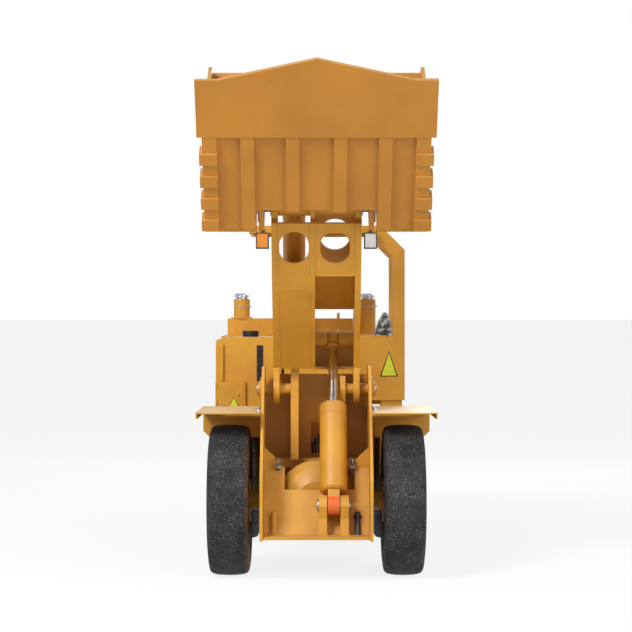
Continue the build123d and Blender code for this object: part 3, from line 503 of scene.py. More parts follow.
def pattern(name, finish, count, spread, across, height, kind="row"):
    """The mesh of a node tree: bolts with washers in a row along X or on a ring, or upright bars in a row."""
    values = {"Count": count, "Spread": spread, "Across": across, "Height": height, "Material": MATERIALS[finish]}
    tree = bpy.data.node_groups.new(name, "GeometryNodeTree")
    tree.interface.new_socket(name="Geometry", in_out="OUTPUT", socket_type="NodeSocketGeometry")
    for label, socket in zip(values, ("Int", "Float", "Float", "Float", "Material")):
        tree.interface.new_socket(name=label, in_out="INPUT", socket_type=f"NodeSocket{socket}")
    given = tree.nodes.new("NodeGroupInput").outputs
    if kind == "ring":
        points = link_node(tree, "GeometryNodeMeshCircle", {"Vertices": given["Count"], "Radius": given["Spread"]})
    else:
        step = link_node(tree, "ShaderNodeCombineXYZ", {"X": given["Spread"]}).outputs["Vector"]
        points = link_node(tree, "GeometryNodeMeshLine", {"Count": given["Count"], "Offset": step})
    if kind == "bars":
        bar = {"Vertices": 8, "Radius": given["Across"], "Depth": given["Height"]}
        single = link_node(tree, "GeometryNodeMeshCylinder", bar).outputs["Mesh"]
    else:
        flange, corner, worn = (worked(tree, "MULTIPLY", given["Across"], share) for share in (0.68, 0.57, 0.5))
        thin = worked(tree, "MULTIPLY", given["Height"], 0.22)
        both = tree.nodes.new("GeometryNodeJoinGeometry")
        for sides, low, high, depth in ((18, flange, flange, thin), (6, corner, worn, given["Height"])):
            cone = {"Vertices": sides, "Radius Bottom": low, "Radius Top": high, "Depth": depth}
            made = link_node(tree, "GeometryNodeMeshCone", cone)
            tree.links.new(made.outputs["Mesh"], both.inputs["Geometry"])
        single = both.outputs["Geometry"]
    copies = {"Points": points.outputs["Mesh"], "Instance": single}
    spread_out = link_node(tree, "GeometryNodeInstanceOnPoints", copies).outputs["Instances"]
    real = link_node(tree, "GeometryNodeRealizeInstances", {"Geometry": spread_out}).outputs["Geometry"]
    painted = link_node(tree, "GeometryNodeSetMaterial", {"Geometry": real, "Material": given["Material"]})
    tree.links.new(painted.outputs["Geometry"], tree.nodes.new("NodeGroupOutput").inputs["Geometry"])
    carrier = new_object("carrier", bpy.data.meshes.new("carrier"))
    modifier = carrier.modifiers.new("pattern", "NODES")
    modifier.node_group = tree
    for item in tree.interface.items_tree:
        if item.item_type == "SOCKET" and item.in_out == "INPUT":
            modifier[item.identifier] = values[item.name]
    mesh = evaluated_mesh(carrier)
    bpy.data.objects.remove(carrier)
    return mesh


def pin_cover(bm, centre, axis, radius, thickness):
    """A pin's end plate with a turned rim and a grease nipple in the middle."""
    centre, axis = Vector(centre), Vector(axis).normalized()
    face = centre + axis * thickness
    add_round(bm, centre, face, radius, radius * 0.94, 32)
    add_round(bm, face, centre + axis * (thickness + 0.006), radius * 0.45, radius * 0.4, 24)
    add_round(bm, face, centre + axis * (thickness + 0.016), 0.006, 0.004, 10)


TYRE_PROFILE = [
    # distance from the middle of the tread, radius
    (0.1085, 0.2630), (0.1240, 0.2800), (0.1345, 0.3050), (0.1415, 0.3500), (0.1424, 0.4000), (0.1420, 0.4500),
    (0.1400, 0.4760), (0.1350, 0.4960), (0.1250, 0.5090), (0.1160, 0.5140), (0.1070, 0.5172), (0.0980, 0.5195),
    (0.0890, 0.5213), (0.0800, 0.5228), (0.0700, 0.5240), (0.0500, 0.5257), (0.0250, 0.5268),
]
TREAD_RADIUS = 0.5271
TYRE_STEPS = 576
NOTCH_PITCH = math.tau / 24
NOTCH_HALF = 0.0105
NOTCH_DEPTH = 0.011
NOTCH_SLANT = 0.062
NOTCH_INNER_X = 0.068
NOTCH_OUTER_X = 0.1425
NOTCH_LOW_RADIUS = 0.44


def notched(x, radius, angle):
    """The tyre's radius at a place on its profile, less where a shoulder notch is cut."""
    across = abs(x)
    if across <= NOTCH_INNER_X or radius <= NOTCH_LOW_RADIUS:
        return radius
    inward = (NOTCH_OUTER_X - across) / (NOTCH_OUTER_X - NOTCH_INNER_X)
    slant = NOTCH_SLANT * inward + (0.5 * NOTCH_PITCH if x > 0 else 0.0)
    distance = abs((angle - slant) % NOTCH_PITCH - NOTCH_PITCH / 2) * radius
    half = NOTCH_HALF * (1.0 - 0.35 * inward)
    if distance >= half:
        return radius
    depth = NOTCH_DEPTH * (1.0 - inward) ** 0.5 * min(1.0, (radius - NOTCH_LOW_RADIUS) / 0.03)
    return radius - depth * (1.0 - (distance / half) ** 2)


def fit_tyres(sizes):
    """Four tyres worn almost smooth, with slanted notches cut into both shoulders of their treads."""
    profile = [(-x, radius) for x, radius in TYRE_PROFILE] + [(0.0, TREAD_RADIUS)]
    profile += [(x, radius) for x, radius in reversed(TYRE_PROFILE)]
    for wheel, _, _ in WHEELS:
        node = f"tyre_{wheel}"
        low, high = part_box(node)
        centre = Vector([(low[i] + high[i]) / 2 for i in range(3)])
        bm = bmesh.new()
        rows = []
        for i in range(TYRE_STEPS):
            angle = math.tau * i / TYRE_STEPS
            row = []
            for x, radius in profile:
                worn = notched(x, radius, angle)
                row.append(bm.verts.new(centre + Vector((x, worn * math.cos(angle), worn * math.sin(angle)))))
            rows.append(row)
        add_hoop(bm, rows)
        finish = "sprayed_rubber" if wheel == "front_left" else "tyre_rubber"
        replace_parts(object_from(bm, f"worn_{node}", finish, f"wheel_{wheel}", True), node)


def dress_wheels(sizes):
    """Wheel nuts, hub caps, valve stems and the ribs of the tyre walls, one set for each wheel."""
    nuts = pattern("wheel nuts", "zinc", 10, 0.140, sizes.nut_across, sizes.nut_across * 0.7, "ring")
    wall_ribs = ((0.318, 0.1345), (0.366, 0.1415), (0.438, 0.1415))
    for wheel, side, axle_y in WHEELS:
        body = f"wheel_{wheel}"
        out = X_AXIS * side
        hub = Vector((side * WHEEL_X, axle_y, FRONT_AXLE_Z))
        joined(f"wheel_nuts_{wheel}", [(nuts, facing(hub + out * 0.056, out, math.radians(18)))], "zinc", body)
        bm = bmesh.new()
        add_round(bm, hub + out * 0.085, hub + out * 0.104, 0.052, 0.046, 32)
        add_round(bm, hub + out * 0.104, hub + out * 0.112, 0.014, 0.012, 6)
        stem = hub + Vector((side * 0.045, 0.0, 0.205))
        bends = (Vector((side * 0.03, 0, -0.012)), Vector((side * 0.055, 0, -0.03)))
        add_pipe(bm, [stem, *(stem + bend for bend in bends)], 0.004)
        object_from(bm, f"hub_cap_{wheel}", "grey_enamel", body, True)
        bm = bmesh.new()
        for wall in (-1, 1):
            for radius, sideways in wall_ribs:
                add_ring(bm, hub + X_AXIS * wall * sideways, out, radius, 0.0034, 96)
        object_from(bm, f"tyre_ribs_{wheel}", "tyre_rubber", body, True)


def dress_boom(sizes):
    """Weld beads, bushes and steel pipes on the boom."""
    radius = sizes.weld_radius
    head_front = on_way(HINGE, KNEE, BOOM_HEAD_RADIUS, BOOM_HEAD_RADIUS)
    bm = bmesh.new()
    upper_ways = ((-BOOM_HALF + 0.042, 0.003), (-0.042, -0.003), (-0.010, 0.003), (BOOM_HALF - 0.042, -0.003))
    for x, inner in upper_ways:
        start, end = (on_way(KNEE, head_front, distance, 0.001) for distance in (0.112, 0.515))
        add_bead(bm, spot(x + inner, start), spot(x + inner, end), radius)
    for x in (-BOOM_HALF + 0.045, -0.045):
        start, end = (on_way(BOOM_FOOT, KNEE, distance, 0.001) for distance in (0.02, 0.70))
        add_bead(bm, spot(x, start), spot(x, end), radius)
    low = on_way(KNEE, head_front, 0.111, 0.001)
    add_bead(bm, spot(-0.006, low), spot(BOOM_HALF - 0.045, low), radius)
    object_from(bm, "boom_welds", "yellow_enamel", "boom", True)
    bm = bmesh.new()
    for side in (-1, 1):
        for place, bush in ((HINGE, 0.058), (PIVOT, 0.070)):
            add_ring(bm, spot(side * (BOOM_HALF + 0.001), place), X_AXIS * side, bush, 0.006, 40)
    object_from(bm, "boom_bushes", "turned_steel", "boom", True)
    bm = bmesh.new()
    way = [(-0.28, 1.47), on_way(BOOM_FOOT, KNEE, 0.10, 0.055)]
    way += [on_way(KNEE, head_front, distance, 0.06) for distance in (0.0, 0.09)]
    for lane in (-0.238, -0.218):
        add_pipe(bm, [spot(lane, place) for place in way], 0.0075)
    object_from(bm, "boom_pipes", "zinc", "boom", True)


def dress_bucket(sizes):
    """Weld beads along the wear strips and plate joints, and the covers of the bucket's pin."""
    floor = way_vector(BUCKET_HEEL, BUCKET_LIP)
    out = Vector((0, -floor.z, floor.y))
    heel = spot(0, BUCKET_HEEL)
    lip_low = 0.8095
    bm = bmesh.new()
    seams = []
    for x, low in ((-0.447, 0.09), (-0.155, 0.235), (0.155, 0.235), (0.447, 0.09)):
        seams += [(x + side * (0.044 + 0.002), low) for side in (-1, 1)]
    seams += [(-0.642, 0.09), (0.642, 0.09)]
    for x, low in seams:
        start = heel + floor * low + out * 0.001 + X_AXIS * x
        add_bead(bm, start, start + floor * (lip_low - low), sizes.weld_radius * 0.9)
    edge = heel + floor * lip_low + out * 0.004
    spans = [(-0.640, -0.493), (-0.401, -0.201), (-0.109, 0.109), (0.201, 0.401), (0.493, 0.640)]
    for low_x, high_x in spans:
        add_bead(bm, edge + X_AXIS * low_x, edge + X_AXIS * high_x, sizes.weld_radius)
    object_from(bm, "bucket_welds", "bucket_enamel", "bucket", True)
    bm = bmesh.new()
    for side in (-1, 1):
        place = spot(side * (BOOM_HALF + 0.045 + 0.034 + 0.0085), HINGE)
        pin_cover(bm, place, X_AXIS * side, 0.052, 0.010)
        add_box(bm, place + Vector((-0.004, -0.016, -0.105)), place + Vector((0.006, 0.016, -0.03)), 0.002)
    object_from(bm, "bucket_pin_covers", "turned_steel", "bucket_pin")


def dress_front_frame(sizes):
    """Pin covers, bolts, weld beads, lock bars, shackles and hose fittings on the front frame."""
    radius = sizes.weld_radius
    body = "front_chassis"
    bm = bmesh.new()
    for side in (-1, 1):
        pin_cover(bm, spot(side * (FRAME_HALF + 0.028), PIVOT), X_AXIS * side, 0.046, 0.008)
    for side in (-1, 1):
        pin_cover(bm, spot(LIFT_X + side * 0.104, LIFT_FOOT), X_AXIS * side, 0.046, 0.008)
    object_from(bm, "frame_pin_covers", "turned_steel", body)
    bm = bmesh.new()
    low, high = (on_way(PLATE_FOOT, PLATE_TOP, distance, -0.002) for distance in (0.01, 0.50))
    foot = (0.357, 0.303)
    tower_low, tower_high = (-0.435, 0.81), (-0.435, 1.30)
    edge_x = FRAME_HALF - 0.024
    beads = [(-edge_x, low, -edge_x, high), (edge_x, low, edge_x, high)]
    beads += [(-0.36, foot, 0.02, foot), (0.22, foot, 0.36, foot)]
    beads += [(x, tower_low, x, tower_high) for x in (-0.183 - 0.003, -0.127 + 0.003, 0.165 - 0.003, 0.205 + 0.003)]
    for start_x, start, end_x, end in beads:
        add_bead(bm, spot(start_x, start), spot(end_x, end), radius)
    object_from(bm, "frame_welds", "yellow_enamel", body, True)
    bars = [
        # name, left x, right x, finish
        ("steering_lock_bar", -0.314, -0.272, "yellow_enamel"),
        ("lift_lock_bar", 0.262, 0.304, "grey_enamel"),
    ]
    for name, low_x, high_x, finish in bars:
        bm = bmesh.new()
        for distance in (0.02, 0.155):
            place = on_way(PLATE_FOOT, PLATE_TOP, distance, -0.004)
            add_round(bm, spot(low_x - 0.006, place), spot(high_x + 0.006, place), 0.013, sides=16)
        middle = spot((low_x + high_x) / 2, on_way(PLATE_FOOT, PLATE_TOP, 0.0, -0.014))
        add_round(bm, middle, middle + way_vector(PLATE_FOOT, PLATE_TOP) * 0.18, 0.019, sides=20)
        object_from(bm, name, finish, body)
    row = pattern("row of bolts", "turned_steel", 2, 0.075, sizes.bolt_across, sizes.bolt_across * 0.6)
    slope = (0, -0.87, 0.49)
    places = [(row, facing(spot(x, (0.094, 0.742)), slope, math.radians(90))) for x in (-0.272, 0.250)]
    joined("frame_bolts", places, "turned_steel", body)
    bm = bmesh.new()
    for x in (-0.268, 0.252):
        seat = spot(x, (0.125, 0.80))
        add_ring(bm, seat, X_AXIS, 0.026, 0.008, 28)
        add_box(bm, seat + Vector((-0.020, -0.014, -0.045)), seat + Vector((0.020, 0.016, -0.016)), 0.004)
    object_from(bm, "tie_down_shackles", "turned_steel", body, True)
    bm = bmesh.new()
    wall = -0.441
    for i, x in enumerate((-0.030, -0.008, 0.016)):
        places = [spot(x, (wall + 0.004, 0.90 + 0.03 * i)), spot(x, (wall + 0.05, 0.89 + 0.03 * i))]
        add_pipe(bm, [*places, spot(x + 0.004, (wall + 0.07, 0.83))], 0.009)
    object_from(bm, "valve_hoses", "rubber_hose", body, True)
    bm = bmesh.new()
    bends = ((0.008, (-0.10, 1.06)), (0.012, (0.10, 0.98)), (0.010, (0.16, 0.84)))
    add_pipe(bm, [spot(FRAME_HALF + out, place) for out, place in bends], 0.008)
    object_from(bm, "brake_sleeve", "red_hose", body, True)


def dress_guards(sizes):
    """Turned edges, brackets and bolts of the front mudguards."""
    row = pattern("row of guard bolts", "zinc", 4, 0.21, sizes.bolt_across * 0.8, sizes.bolt_across * 0.5)
    for side_name, side in SIDES:
        low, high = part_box(f"front_guard_{side_name}")
        place = (side * (FRAME_HALF + 0.022), reach(0.25), high[2] + 0.0015)
        joined(f"guard_bolts_{side_name}", [(row, facing(place, Z_AXIS, math.radians(-90)))], "zinc", "front_chassis")
        bm = bmesh.new()
        edge_y, edge_z = low[1] + 0.003, high[2] - 0.005
        edge_x = side * (max(abs(low[0]), abs(high[0])) - 0.060)
        add_round(bm, (side * (FRAME_HALF + 0.004), edge_y, edge_z), (edge_x, edge_y, edge_z), 0.0058, sides=12)
        near, far = sorted((side * (FRAME_HALF + 0.001), side * (FRAME_HALF + 0.26)))
        for bracket in (0.22, -0.05, -0.36):
            y = reach(bracket)
            add_box(bm, (near, y - 0.004, high[2] - 0.032), (far, y + 0.004, high[2] - 0.0095), 0.001)
        object_from(bm, f"guard_stiffeners_{side_name}", "yellow_enamel", "front_chassis")


def dress_cylinders(sizes):
    """Gland rings, ports, eye bushes and wipers of the lift and tilt cylinders."""
    rod = 0.035
    cylinders = [
        # name, foot, eye, x, barrel radius, gland distance, lower port distance
        ("lift", LIFT_FOOT, LIFT_EYE, LIFT_X, 0.095, 0.772, 0.20),
        ("tilt", TILT_FOOT, TILT_EYE, TILT_X, 0.078, 1.200, 0.18),
    ]
    for name, foot, eye, x, barrel, gland, low_port in cylinders:
        way = way_vector(foot, eye)
        start = spot(x, foot)
        mouth = start + way * gland
        bm = bmesh.new()
        add_ring(bm, start + way * (gland - 0.086), way, barrel - 0.0015, 0.0035, 64)
        add_ring(bm, start + way * (gland - 0.012), way, barrel - 0.004, 0.005, 64)
        across = way.cross(X_AXIS)
        for notch in range(6):
            turn = math.tau * notch / 6
            side = X_AXIS * math.cos(turn) + across * math.sin(turn)
            seat = mouth + way * 0.0005 + side * (barrel - 0.022)
            add_round(bm, seat, seat + way * 0.007, 0.008, 0.007, 6)
        back = across.normalized()
        back = back if back.y > 0 else -back
        for place in (low_port, gland - 0.12):
            port = start + way * place + back * (barrel - 0.004)
            add_round(bm, port, port + back * 0.024, 0.020, 0.018, 20)
            add_round(bm, port + back * 0.022, port + back * 0.044, 0.0145, 0.0145, 6)
        object_from(bm, f"{name}_barrel_fittings", "cylinder_enamel", f"{name}_barrel")
        bm = bmesh.new()
        add_round(bm, mouth + way * 0.001, mouth + way * 0.009, rod + 0.012, rod + 0.006, 40)
        object_from(bm, f"{name}_wiper", "black_plastic", f"{name}_barrel", True)
        end = spot(x, eye)
        bm = bmesh.new()
        for side in (-1, 1):
            add_ring(bm, end + X_AXIS * side * 0.040, X_AXIS, 0.036, 0.004, 40)
        object_from(bm, f"{name}_eye_bush", "turned_steel", f"{name}_rod", True)
        bm = bmesh.new()
        add_round(bm, end - X_AXIS * 0.0405, end + X_AXIS * 0.0405, 0.0572, sides=64)
        add_round(bm, end - way * 0.074, end - way * 0.050, rod + 0.004, rod + 0.013, 48)
        object_from(bm, f"{name}_painted_eye", "yellow_enamel", f"{name}_rod", True)


def dress_body(sizes):
    """Strip, pipe, cap and eyes of the tank, the locker's door, and the hood's screws, bars, latches and stacks."""
    front_y = TANK_LOW[1]
    strip_x = photo_x(260.0, front_y)
    bm = bmesh.new()
    for i in range(7):
        z = 1.33 + i * 0.036
        add_box(bm, (strip_x - 0.020, front_y - 0.012, z), (strip_x + 0.020, front_y - 0.001, z + 0.024), 0.002)
    add_box(bm, (strip_x - 0.024, front_y - 0.0045, 1.315), (strip_x + 0.024, front_y - GAP, 1.595), 0.001)
    object_from(bm, "terminal_strip", "black_plastic")
    bm = bmesh.new()
    pipe_x = TANK_LOW[0] + 0.05
    add_pipe(bm, [(pipe_x, front_y - 0.018, z) for z in (1.33, 1.60)], 0.011)
    for z in (1.36, 1.57):
        add_box(bm, (pipe_x - 0.020, front_y - 0.010, z - 0.008), (pipe_x + 0.020, front_y - GAP, z + 0.008), 0.002)
    object_from(bm, "sight_pipe", "yellow_enamel")
    bm = bmesh.new()
    door_y = LOCKER_LOW[1]
    add_box(bm, (LOCKER_LOW[0] + 0.012, door_y - 0.004, LOCKER_LOW[2] + 0.014),
            (-0.56, door_y - GAP, LOCKER_HIGH[2] - 0.014), 0.0015)
    add_round(bm, (-0.60, door_y - 0.004, 1.22), (-0.60, door_y - 0.016, 1.22), 0.011, 0.009, 20)
    for z in (1.155, 1.285):
        low, high = ((LOCKER_LOW[0] + 0.010, door_y - 0.007, end) for end in (z - 0.022, z + 0.022))
        add_round(bm, low, high, 0.006, sides=14)
    object_from(bm, "locker_door", "yellow_enamel")
    bm = bmesh.new()
    neck = Vector((-0.52, front_y + 0.42, TANK_HIGH[2]))
    add_round(bm, neck - Z_AXIS * 0.004, neck + Z_AXIS * 0.03, 0.062, sides=36)
    add_round(bm, neck + Z_AXIS * 0.028, neck + Z_AXIS * 0.048, 0.07, 0.060, 12)
    object_from(bm, "tank_filler_cap", "black_plastic")
    bm = bmesh.new()
    eyes = [(-0.66, front_y + 0.10, TANK_HIGH[2]), (-0.38, front_y + 0.78, TANK_HIGH[2])]
    for x in (HOOD_LOW[0] + 0.10, HOOD_LOW[0] + 0.96):
        eyes += [(x, y, HOOD_HIGH[2]) for y in (HOOD_LOW[1] + 0.30, HOOD_HIGH[1] - 0.20)]
    for x, y, top in eyes:
        add_ring(bm, (x, y, top + 0.016), X_AXIS, 0.026, 0.008, 24)
    object_from(bm, "lifting_eyes", "yellow_enamel", smooth=True)
    long_row, short_row = (pattern("row of panel screws", "zinc", count, 0.09, 0.016, 0.007) for count in (9, 5))
    grille_low, grille_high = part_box("radiator_grille")
    screw_y = grille_high[1] + 0.001
    quarter = math.radians(-90)
    outward = Matrix.Rotation(quarter, 4, "X")
    places = []
    for z in (grille_low[2] + 0.020, grille_high[2] - 0.020):
        places.append((long_row, Matrix.Translation((-0.36, screw_y, z)) @ outward))
    for x in (grille_low[0] + 0.020, grille_high[0] - 0.020):
        upright = outward @ Matrix.Rotation(quarter, 4, "Z")
        places.append((short_row, Matrix.Translation((x, screw_y, 1.20)) @ upright))
    joined("grille_screws", places, "zinc")
    bars = pattern("guard bars", "black_enamel", 25, 0.0316, 0.0035, 0.42, "bars")
    bars_place = Matrix.Translation((-0.3792, grille_low[1] + 0.0005, 1.38))
    joined("grille_guard_bars", [(bars, bars_place)], "black_enamel")
    bm = bmesh.new()
    for side_x, out in ((HOOD_LOW[0], -1), (HOOD_HIGH[0], 1)):
        near, far = sorted((side_x + out * GAP, side_x + out * 0.012))
        for y in (HOOD_LOW[1] + 0.06, HOOD_LOW[1] + 0.24):
            add_box(bm, (near, y, 1.56), (far, y + 0.06, 1.585), 0.002)
            add_round(bm, (side_x + out * 0.012, y + 0.03, 1.5725), (side_x + out * 0.020, y + 0.03, 1.5725), 0.008)
    object_from(bm, "hood_latches", "zinc")
    bm = bmesh.new()
    exhaust = Vector((0.45, HOOD_HIGH[1] - 0.30, 1.656))
    add_round(bm, exhaust, exhaust + Z_AXIS * 0.008, 0.075, sides=32)
    bends = ((0, 0, 0), (0, 0, 0.10), (0, 0.05, 0.15), (0, 0.13, 0.17))
    add_pipe(bm, [exhaust + Vector(bend) for bend in bends], 0.045, 28)
    object_from(bm, "exhaust_pipe", "engine_iron", smooth=True)
    for side_name, _ in SIDES:
        low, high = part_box(f"breather_{side_name}")
        centre = Vector(((low[0] + high[0]) / 2, (low[1] + high[1]) / 2, 0))
        top = high[2]
        bm = bmesh.new()
        for z in (top - 0.004, top - 0.06):
            add_ring(bm, centre + Z_AXIS * z, Z_AXIS, 0.0665, 0.0032, 56)
        add_box(bm, centre + Vector((0.055, -0.020, top - 0.068)), centre + Vector((0.076, 0.0, top - 0.052)), 0.002)
        object_from(bm, f"breather_clamps_{side_name}", "zinc", smooth=True)
        cap_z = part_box(f"breather_cap_{side_name}")[0][2]
        bm = bmesh.new()
        add_ring(bm, centre + Z_AXIS * (cap_z + 0.020), Z_AXIS, 0.0575, 0.0036, 56)
        for spoke in range(8):
            turn = math.tau * spoke / 8
            foot = centre + Vector((math.cos(turn) * 0.043, math.sin(turn) * 0.043, cap_z + 0.001))
            add_round(bm, foot, foot + Z_AXIS * 0.014, 0.003, sides=8)
        object_from(bm, f"breather_cap_rim_{side_name}", "polished_cap", smooth=True)


def add_plate(name, y, columns, rows):
    """A blank three-cornered warning plate with a dark rim, between photo columns and rows on an upright face."""
    low_x, high_x = (photo_x(column, y) for column in columns)
    low_z, high_z = (photo_z(row, y) for row in rows)
    centre_x = (low_x + high_x) / 2
    width = high_x - low_x
    layers = [
        # suffix, finish, inset as a share of the width, front, rear
        ("_rim", "warning_mark", 0.0, 0.0016, GAP),
        ("", "warning_plate", 0.09, 0.0026, 0.0014),
    ]
    for suffix, finish, inset, front, rear in layers:
        half, foot_z = width * (0.5 - inset), low_z + width * inset * 0.62
        corners = ((centre_x - half, foot_z), (centre_x + half, foot_z), (centre_x, high_z - width * inset * 1.25))
        bm = bmesh.new()
        add_skin(bm, [[bm.verts.new((x, y - depth, z)) for x, z in corners] for depth in (front, rear)])
        bmesh.ops.bevel(bm, geom=bm.edges[:], offset=0.0004, segments=2, affect="EDGES", profile=0.6)
        object_from(bm, name + suffix, finish)


def dress_cab(sizes):
    """Rolled rim, hand rail, levers' gaiters, pedals, gauges, bolts and warning plates of the cab."""
    top = CAB_HIGH[2]
    front, back = CAB_LOW[1], CAB_HIGH[1]
    bm = bmesh.new()
    for y in (front + 0.012, back - 0.012):
        add_pipe(bm, [(x, y, top + 0.004) for x in (0.0, CAB_HIGH[0] - 0.14)], 0.011, 12)
    object_from(bm, "cab_rim_tubes", "yellow_enamel", smooth=True)
    bm = bmesh.new()
    foot_y = front + 0.115
    bends = ((foot_y, 1.78), (foot_y + 0.05, 1.80), (foot_y + 0.05, 2.16), (foot_y, 2.18))
    add_pipe(bm, [(CAB_HIGH[0] - 0.050, *bend) for bend in bends], 0.012, 12)
    object_from(bm, "grab_rail", "yellow_enamel", smooth=True)
    console_low, console_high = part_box("control_console")
    bm = bmesh.new()
    for lever in (-1.560, -1.660):
        base = Vector((console_low[0] + 0.040, reach(lever), 1.4205))
        for fold in range(5):
            low, high = (base + Z_AXIS * height for height in (0.012 * fold, 0.012 * fold + 0.011))
            add_round(bm, low, high, 0.034 - 0.004 * fold, 0.029 - 0.004 * fold)
    object_from(bm, "lever_gaiters", "rubber_hose", smooth=True)
    bm = bmesh.new()
    for gauge in (-1.47, -1.78, -1.85):
        centre = Vector((console_high[0] + 0.0006, reach(gauge), 1.30))
        face = centre + X_AXIS * 0.008
        add_round(bm, centre, face, 0.030, 0.027, 32)
        add_ring(bm, face, X_AXIS, 0.028, 0.003, 36)
    object_from(bm, "blank_gauges", "black_plastic", smooth=True)
    bm = bmesh.new()
    floor = CAB_LOW[2] + 0.024
    for pedal in (-1.44, -1.60):
        y = reach(pedal)
        add_box(bm, (0.02, y - 0.035, floor + 0.055), (0.13, y + 0.035, floor + 0.067), 0.004)
        add_box(bm, (0.065, y - 0.010, floor), (0.085, y + 0.010, floor + 0.058), 0.002)
    object_from(bm, "foot_pedals", "black_plastic")
    add_plate("warning_plate_right", front, (380.0, 398.0), (376.5, 351.0))
    add_plate("warning_plate_left", LOCKER_LOW[1] - 0.004, (228.5, 239.5), (407.0, 396.5))
    bolt = pattern("row of foot bolts", "zinc", 1, 0.0, 0.024, 0.014)
    places = []
    for y in (front + 0.017, front + 0.077, back - 0.077, back - 0.017):
        for x in (CAB_LOW[0] + 0.110, CAB_HIGH[0] - 0.110):
            places.append((bolt, Matrix.Translation((x, y, top + 0.0135))))
    joined("canopy_foot_bolts", places, "zinc")
    bm = bmesh.new()
    weld_z = CANOPY_HIGH[2] - 0.018
    for y in (front + 0.002, back - 0.002):
        end_y = y + (0.05 if y < 0 else -0.05)
        for x in (CANOPY_LOW[0] + 0.42, 0.30):
            add_bead(bm, (x, y, weld_z), (x + 0.001, end_y, weld_z), sizes.weld_radius)
    object_from(bm, "canopy_welds", "yellow_enamel", smooth=True)


def finished_pad(name, node, crown, end_inset, end_shrink, next_inset, next_shrink):
    """A crowned vinyl pad from its (x, z) outline, drawn in at both ends, with two pressed seams across it."""
    low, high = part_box(node)
    middle, half = (low[1] + high[1]) / 2, (high[1] - low[1]) / 2
    ends = ((half - end_inset, end_shrink), (half - next_inset, next_shrink), (half * 0.35, 1.0))
    sections = [(middle - y, shrink) for y, shrink in ends] + [(middle + y, shrink) for y, shrink in reversed(ends)]
    centre_x, centre_z = (sum(point[i] for point in crown) / len(crown) for i in (0, 1))
    bm = bmesh.new()
    rows = []
    for y, shrink in sections:
        points = [(centre_x + (x - centre_x) * shrink, y, centre_z + (z - centre_z) * shrink) for x, z in crown]
        rows.append([bm.verts.new(point) for point in points])
    add_skin(bm, rows)
    bmesh.ops.recalc_face_normals(bm, faces=bm.faces[:])
    pad = new_object(name, mesh_from(bm, name))
    pad.data.materials.append(MATERIALS["vinyl"])
    roundness = pad.modifiers.new("roundness", "SUBSURF")
    roundness.levels = roundness.render_levels = 4
    pad.data = evaluated_mesh(pad)
    seam_half, seam_depth = 0.020, 0.0055
    for vertex in pad.data.vertices:
        for seam_y in (middle - half * 0.42, middle + half * 0.42):
            distance = abs(vertex.co.y - seam_y)
            if distance < seam_half:
                vertex.co -= vertex.normal * seam_depth * (1 - distance / seam_half) ** 2
    for polygon in pad.data.polygons:
        polygon.use_smooth = True
    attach(pad, "rear_chassis")
    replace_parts(pad, node)
    return pad


def dress_seat(sizes):
    """The vinyl seat cushion and backrest with their seams, the film left over the backrest, and the slides."""
    low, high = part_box("seat_cushion")
    crown = [
        (low[0] + 0.004, low[2] + 0.028),
        (low[0] + 0.030, low[2] + 0.002),
        (high[0] - 0.030, low[2] + 0.002),
        (high[0] - 0.004, low[2] + 0.028),
        (high[0] - 0.004, high[2] - 0.016),
        (high[0] - 0.060, high[2] - 0.004),
        (low[0] + 0.100, high[2] + 0.006),
        (low[0] + 0.012, high[2] - 0.022),
    ]
    finished_pad("seat_pad", "seat_cushion", crown, 0.004, 0.86, 0.034, 0.985)
    low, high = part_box("seat_back")
    crown = [
        (low[0] + 0.080, low[2] + 0.002),
        (high[0] - 0.012, low[2] + 0.004),
        (high[0] - 0.016, low[2] + 0.16),
        (high[0] - 0.034, high[2] - 0.10),
        (high[0] - 0.062, high[2] - 0.006),
        (low[0] + 0.100, high[2] - 0.012),
        (low[0] + 0.040, high[2] - 0.14),
        (low[0] + 0.010, low[2] + 0.16),
    ]
    back = finished_pad("backrest_pad", "seat_back", crown, 0.004, 0.80, 0.040, 0.975)
    bm = bmesh.new()
    bm.from_mesh(back.data)
    uncovered = [vertex for vertex in bm.verts if vertex.co.z < low[2] + 0.18]
    bmesh.ops.delete(bm, geom=uncovered, context="VERTS")
    generator = random.Random(5)
    for vertex in bm.verts:
        wave = math.sin(vertex.co.z * 90 + vertex.co.y * 35) ** 2
        vertex.co += vertex.normal * (0.0035 + 0.0035 * wave + generator.random() * 0.0008)
    mesh = mesh_from(bm, "backrest_film", True)
    mesh.materials.clear()
    mesh.materials.append(MATERIALS["film"])
    film = new_object("backrest_film", mesh)
    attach(film, "rear_chassis")
    low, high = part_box("seat_base")
    bm = bmesh.new()
    for y in (low[1] - 0.012, high[1] + 0.002):
        add_box(bm, (low[0] - 0.03, y, low[2] + GAP), (high[0] + 0.03, y + 0.010, low[2] + 0.028), 0.002)
    lever_y = low[1] + 0.05
    add_round(bm, (low[0] - 0.02, lever_y, low[2] + 0.05), (low[0] - 0.09, lever_y, low[2] + 0.055), 0.006, sides=12)
    object_from(bm, "seat_slides", "black_enamel")


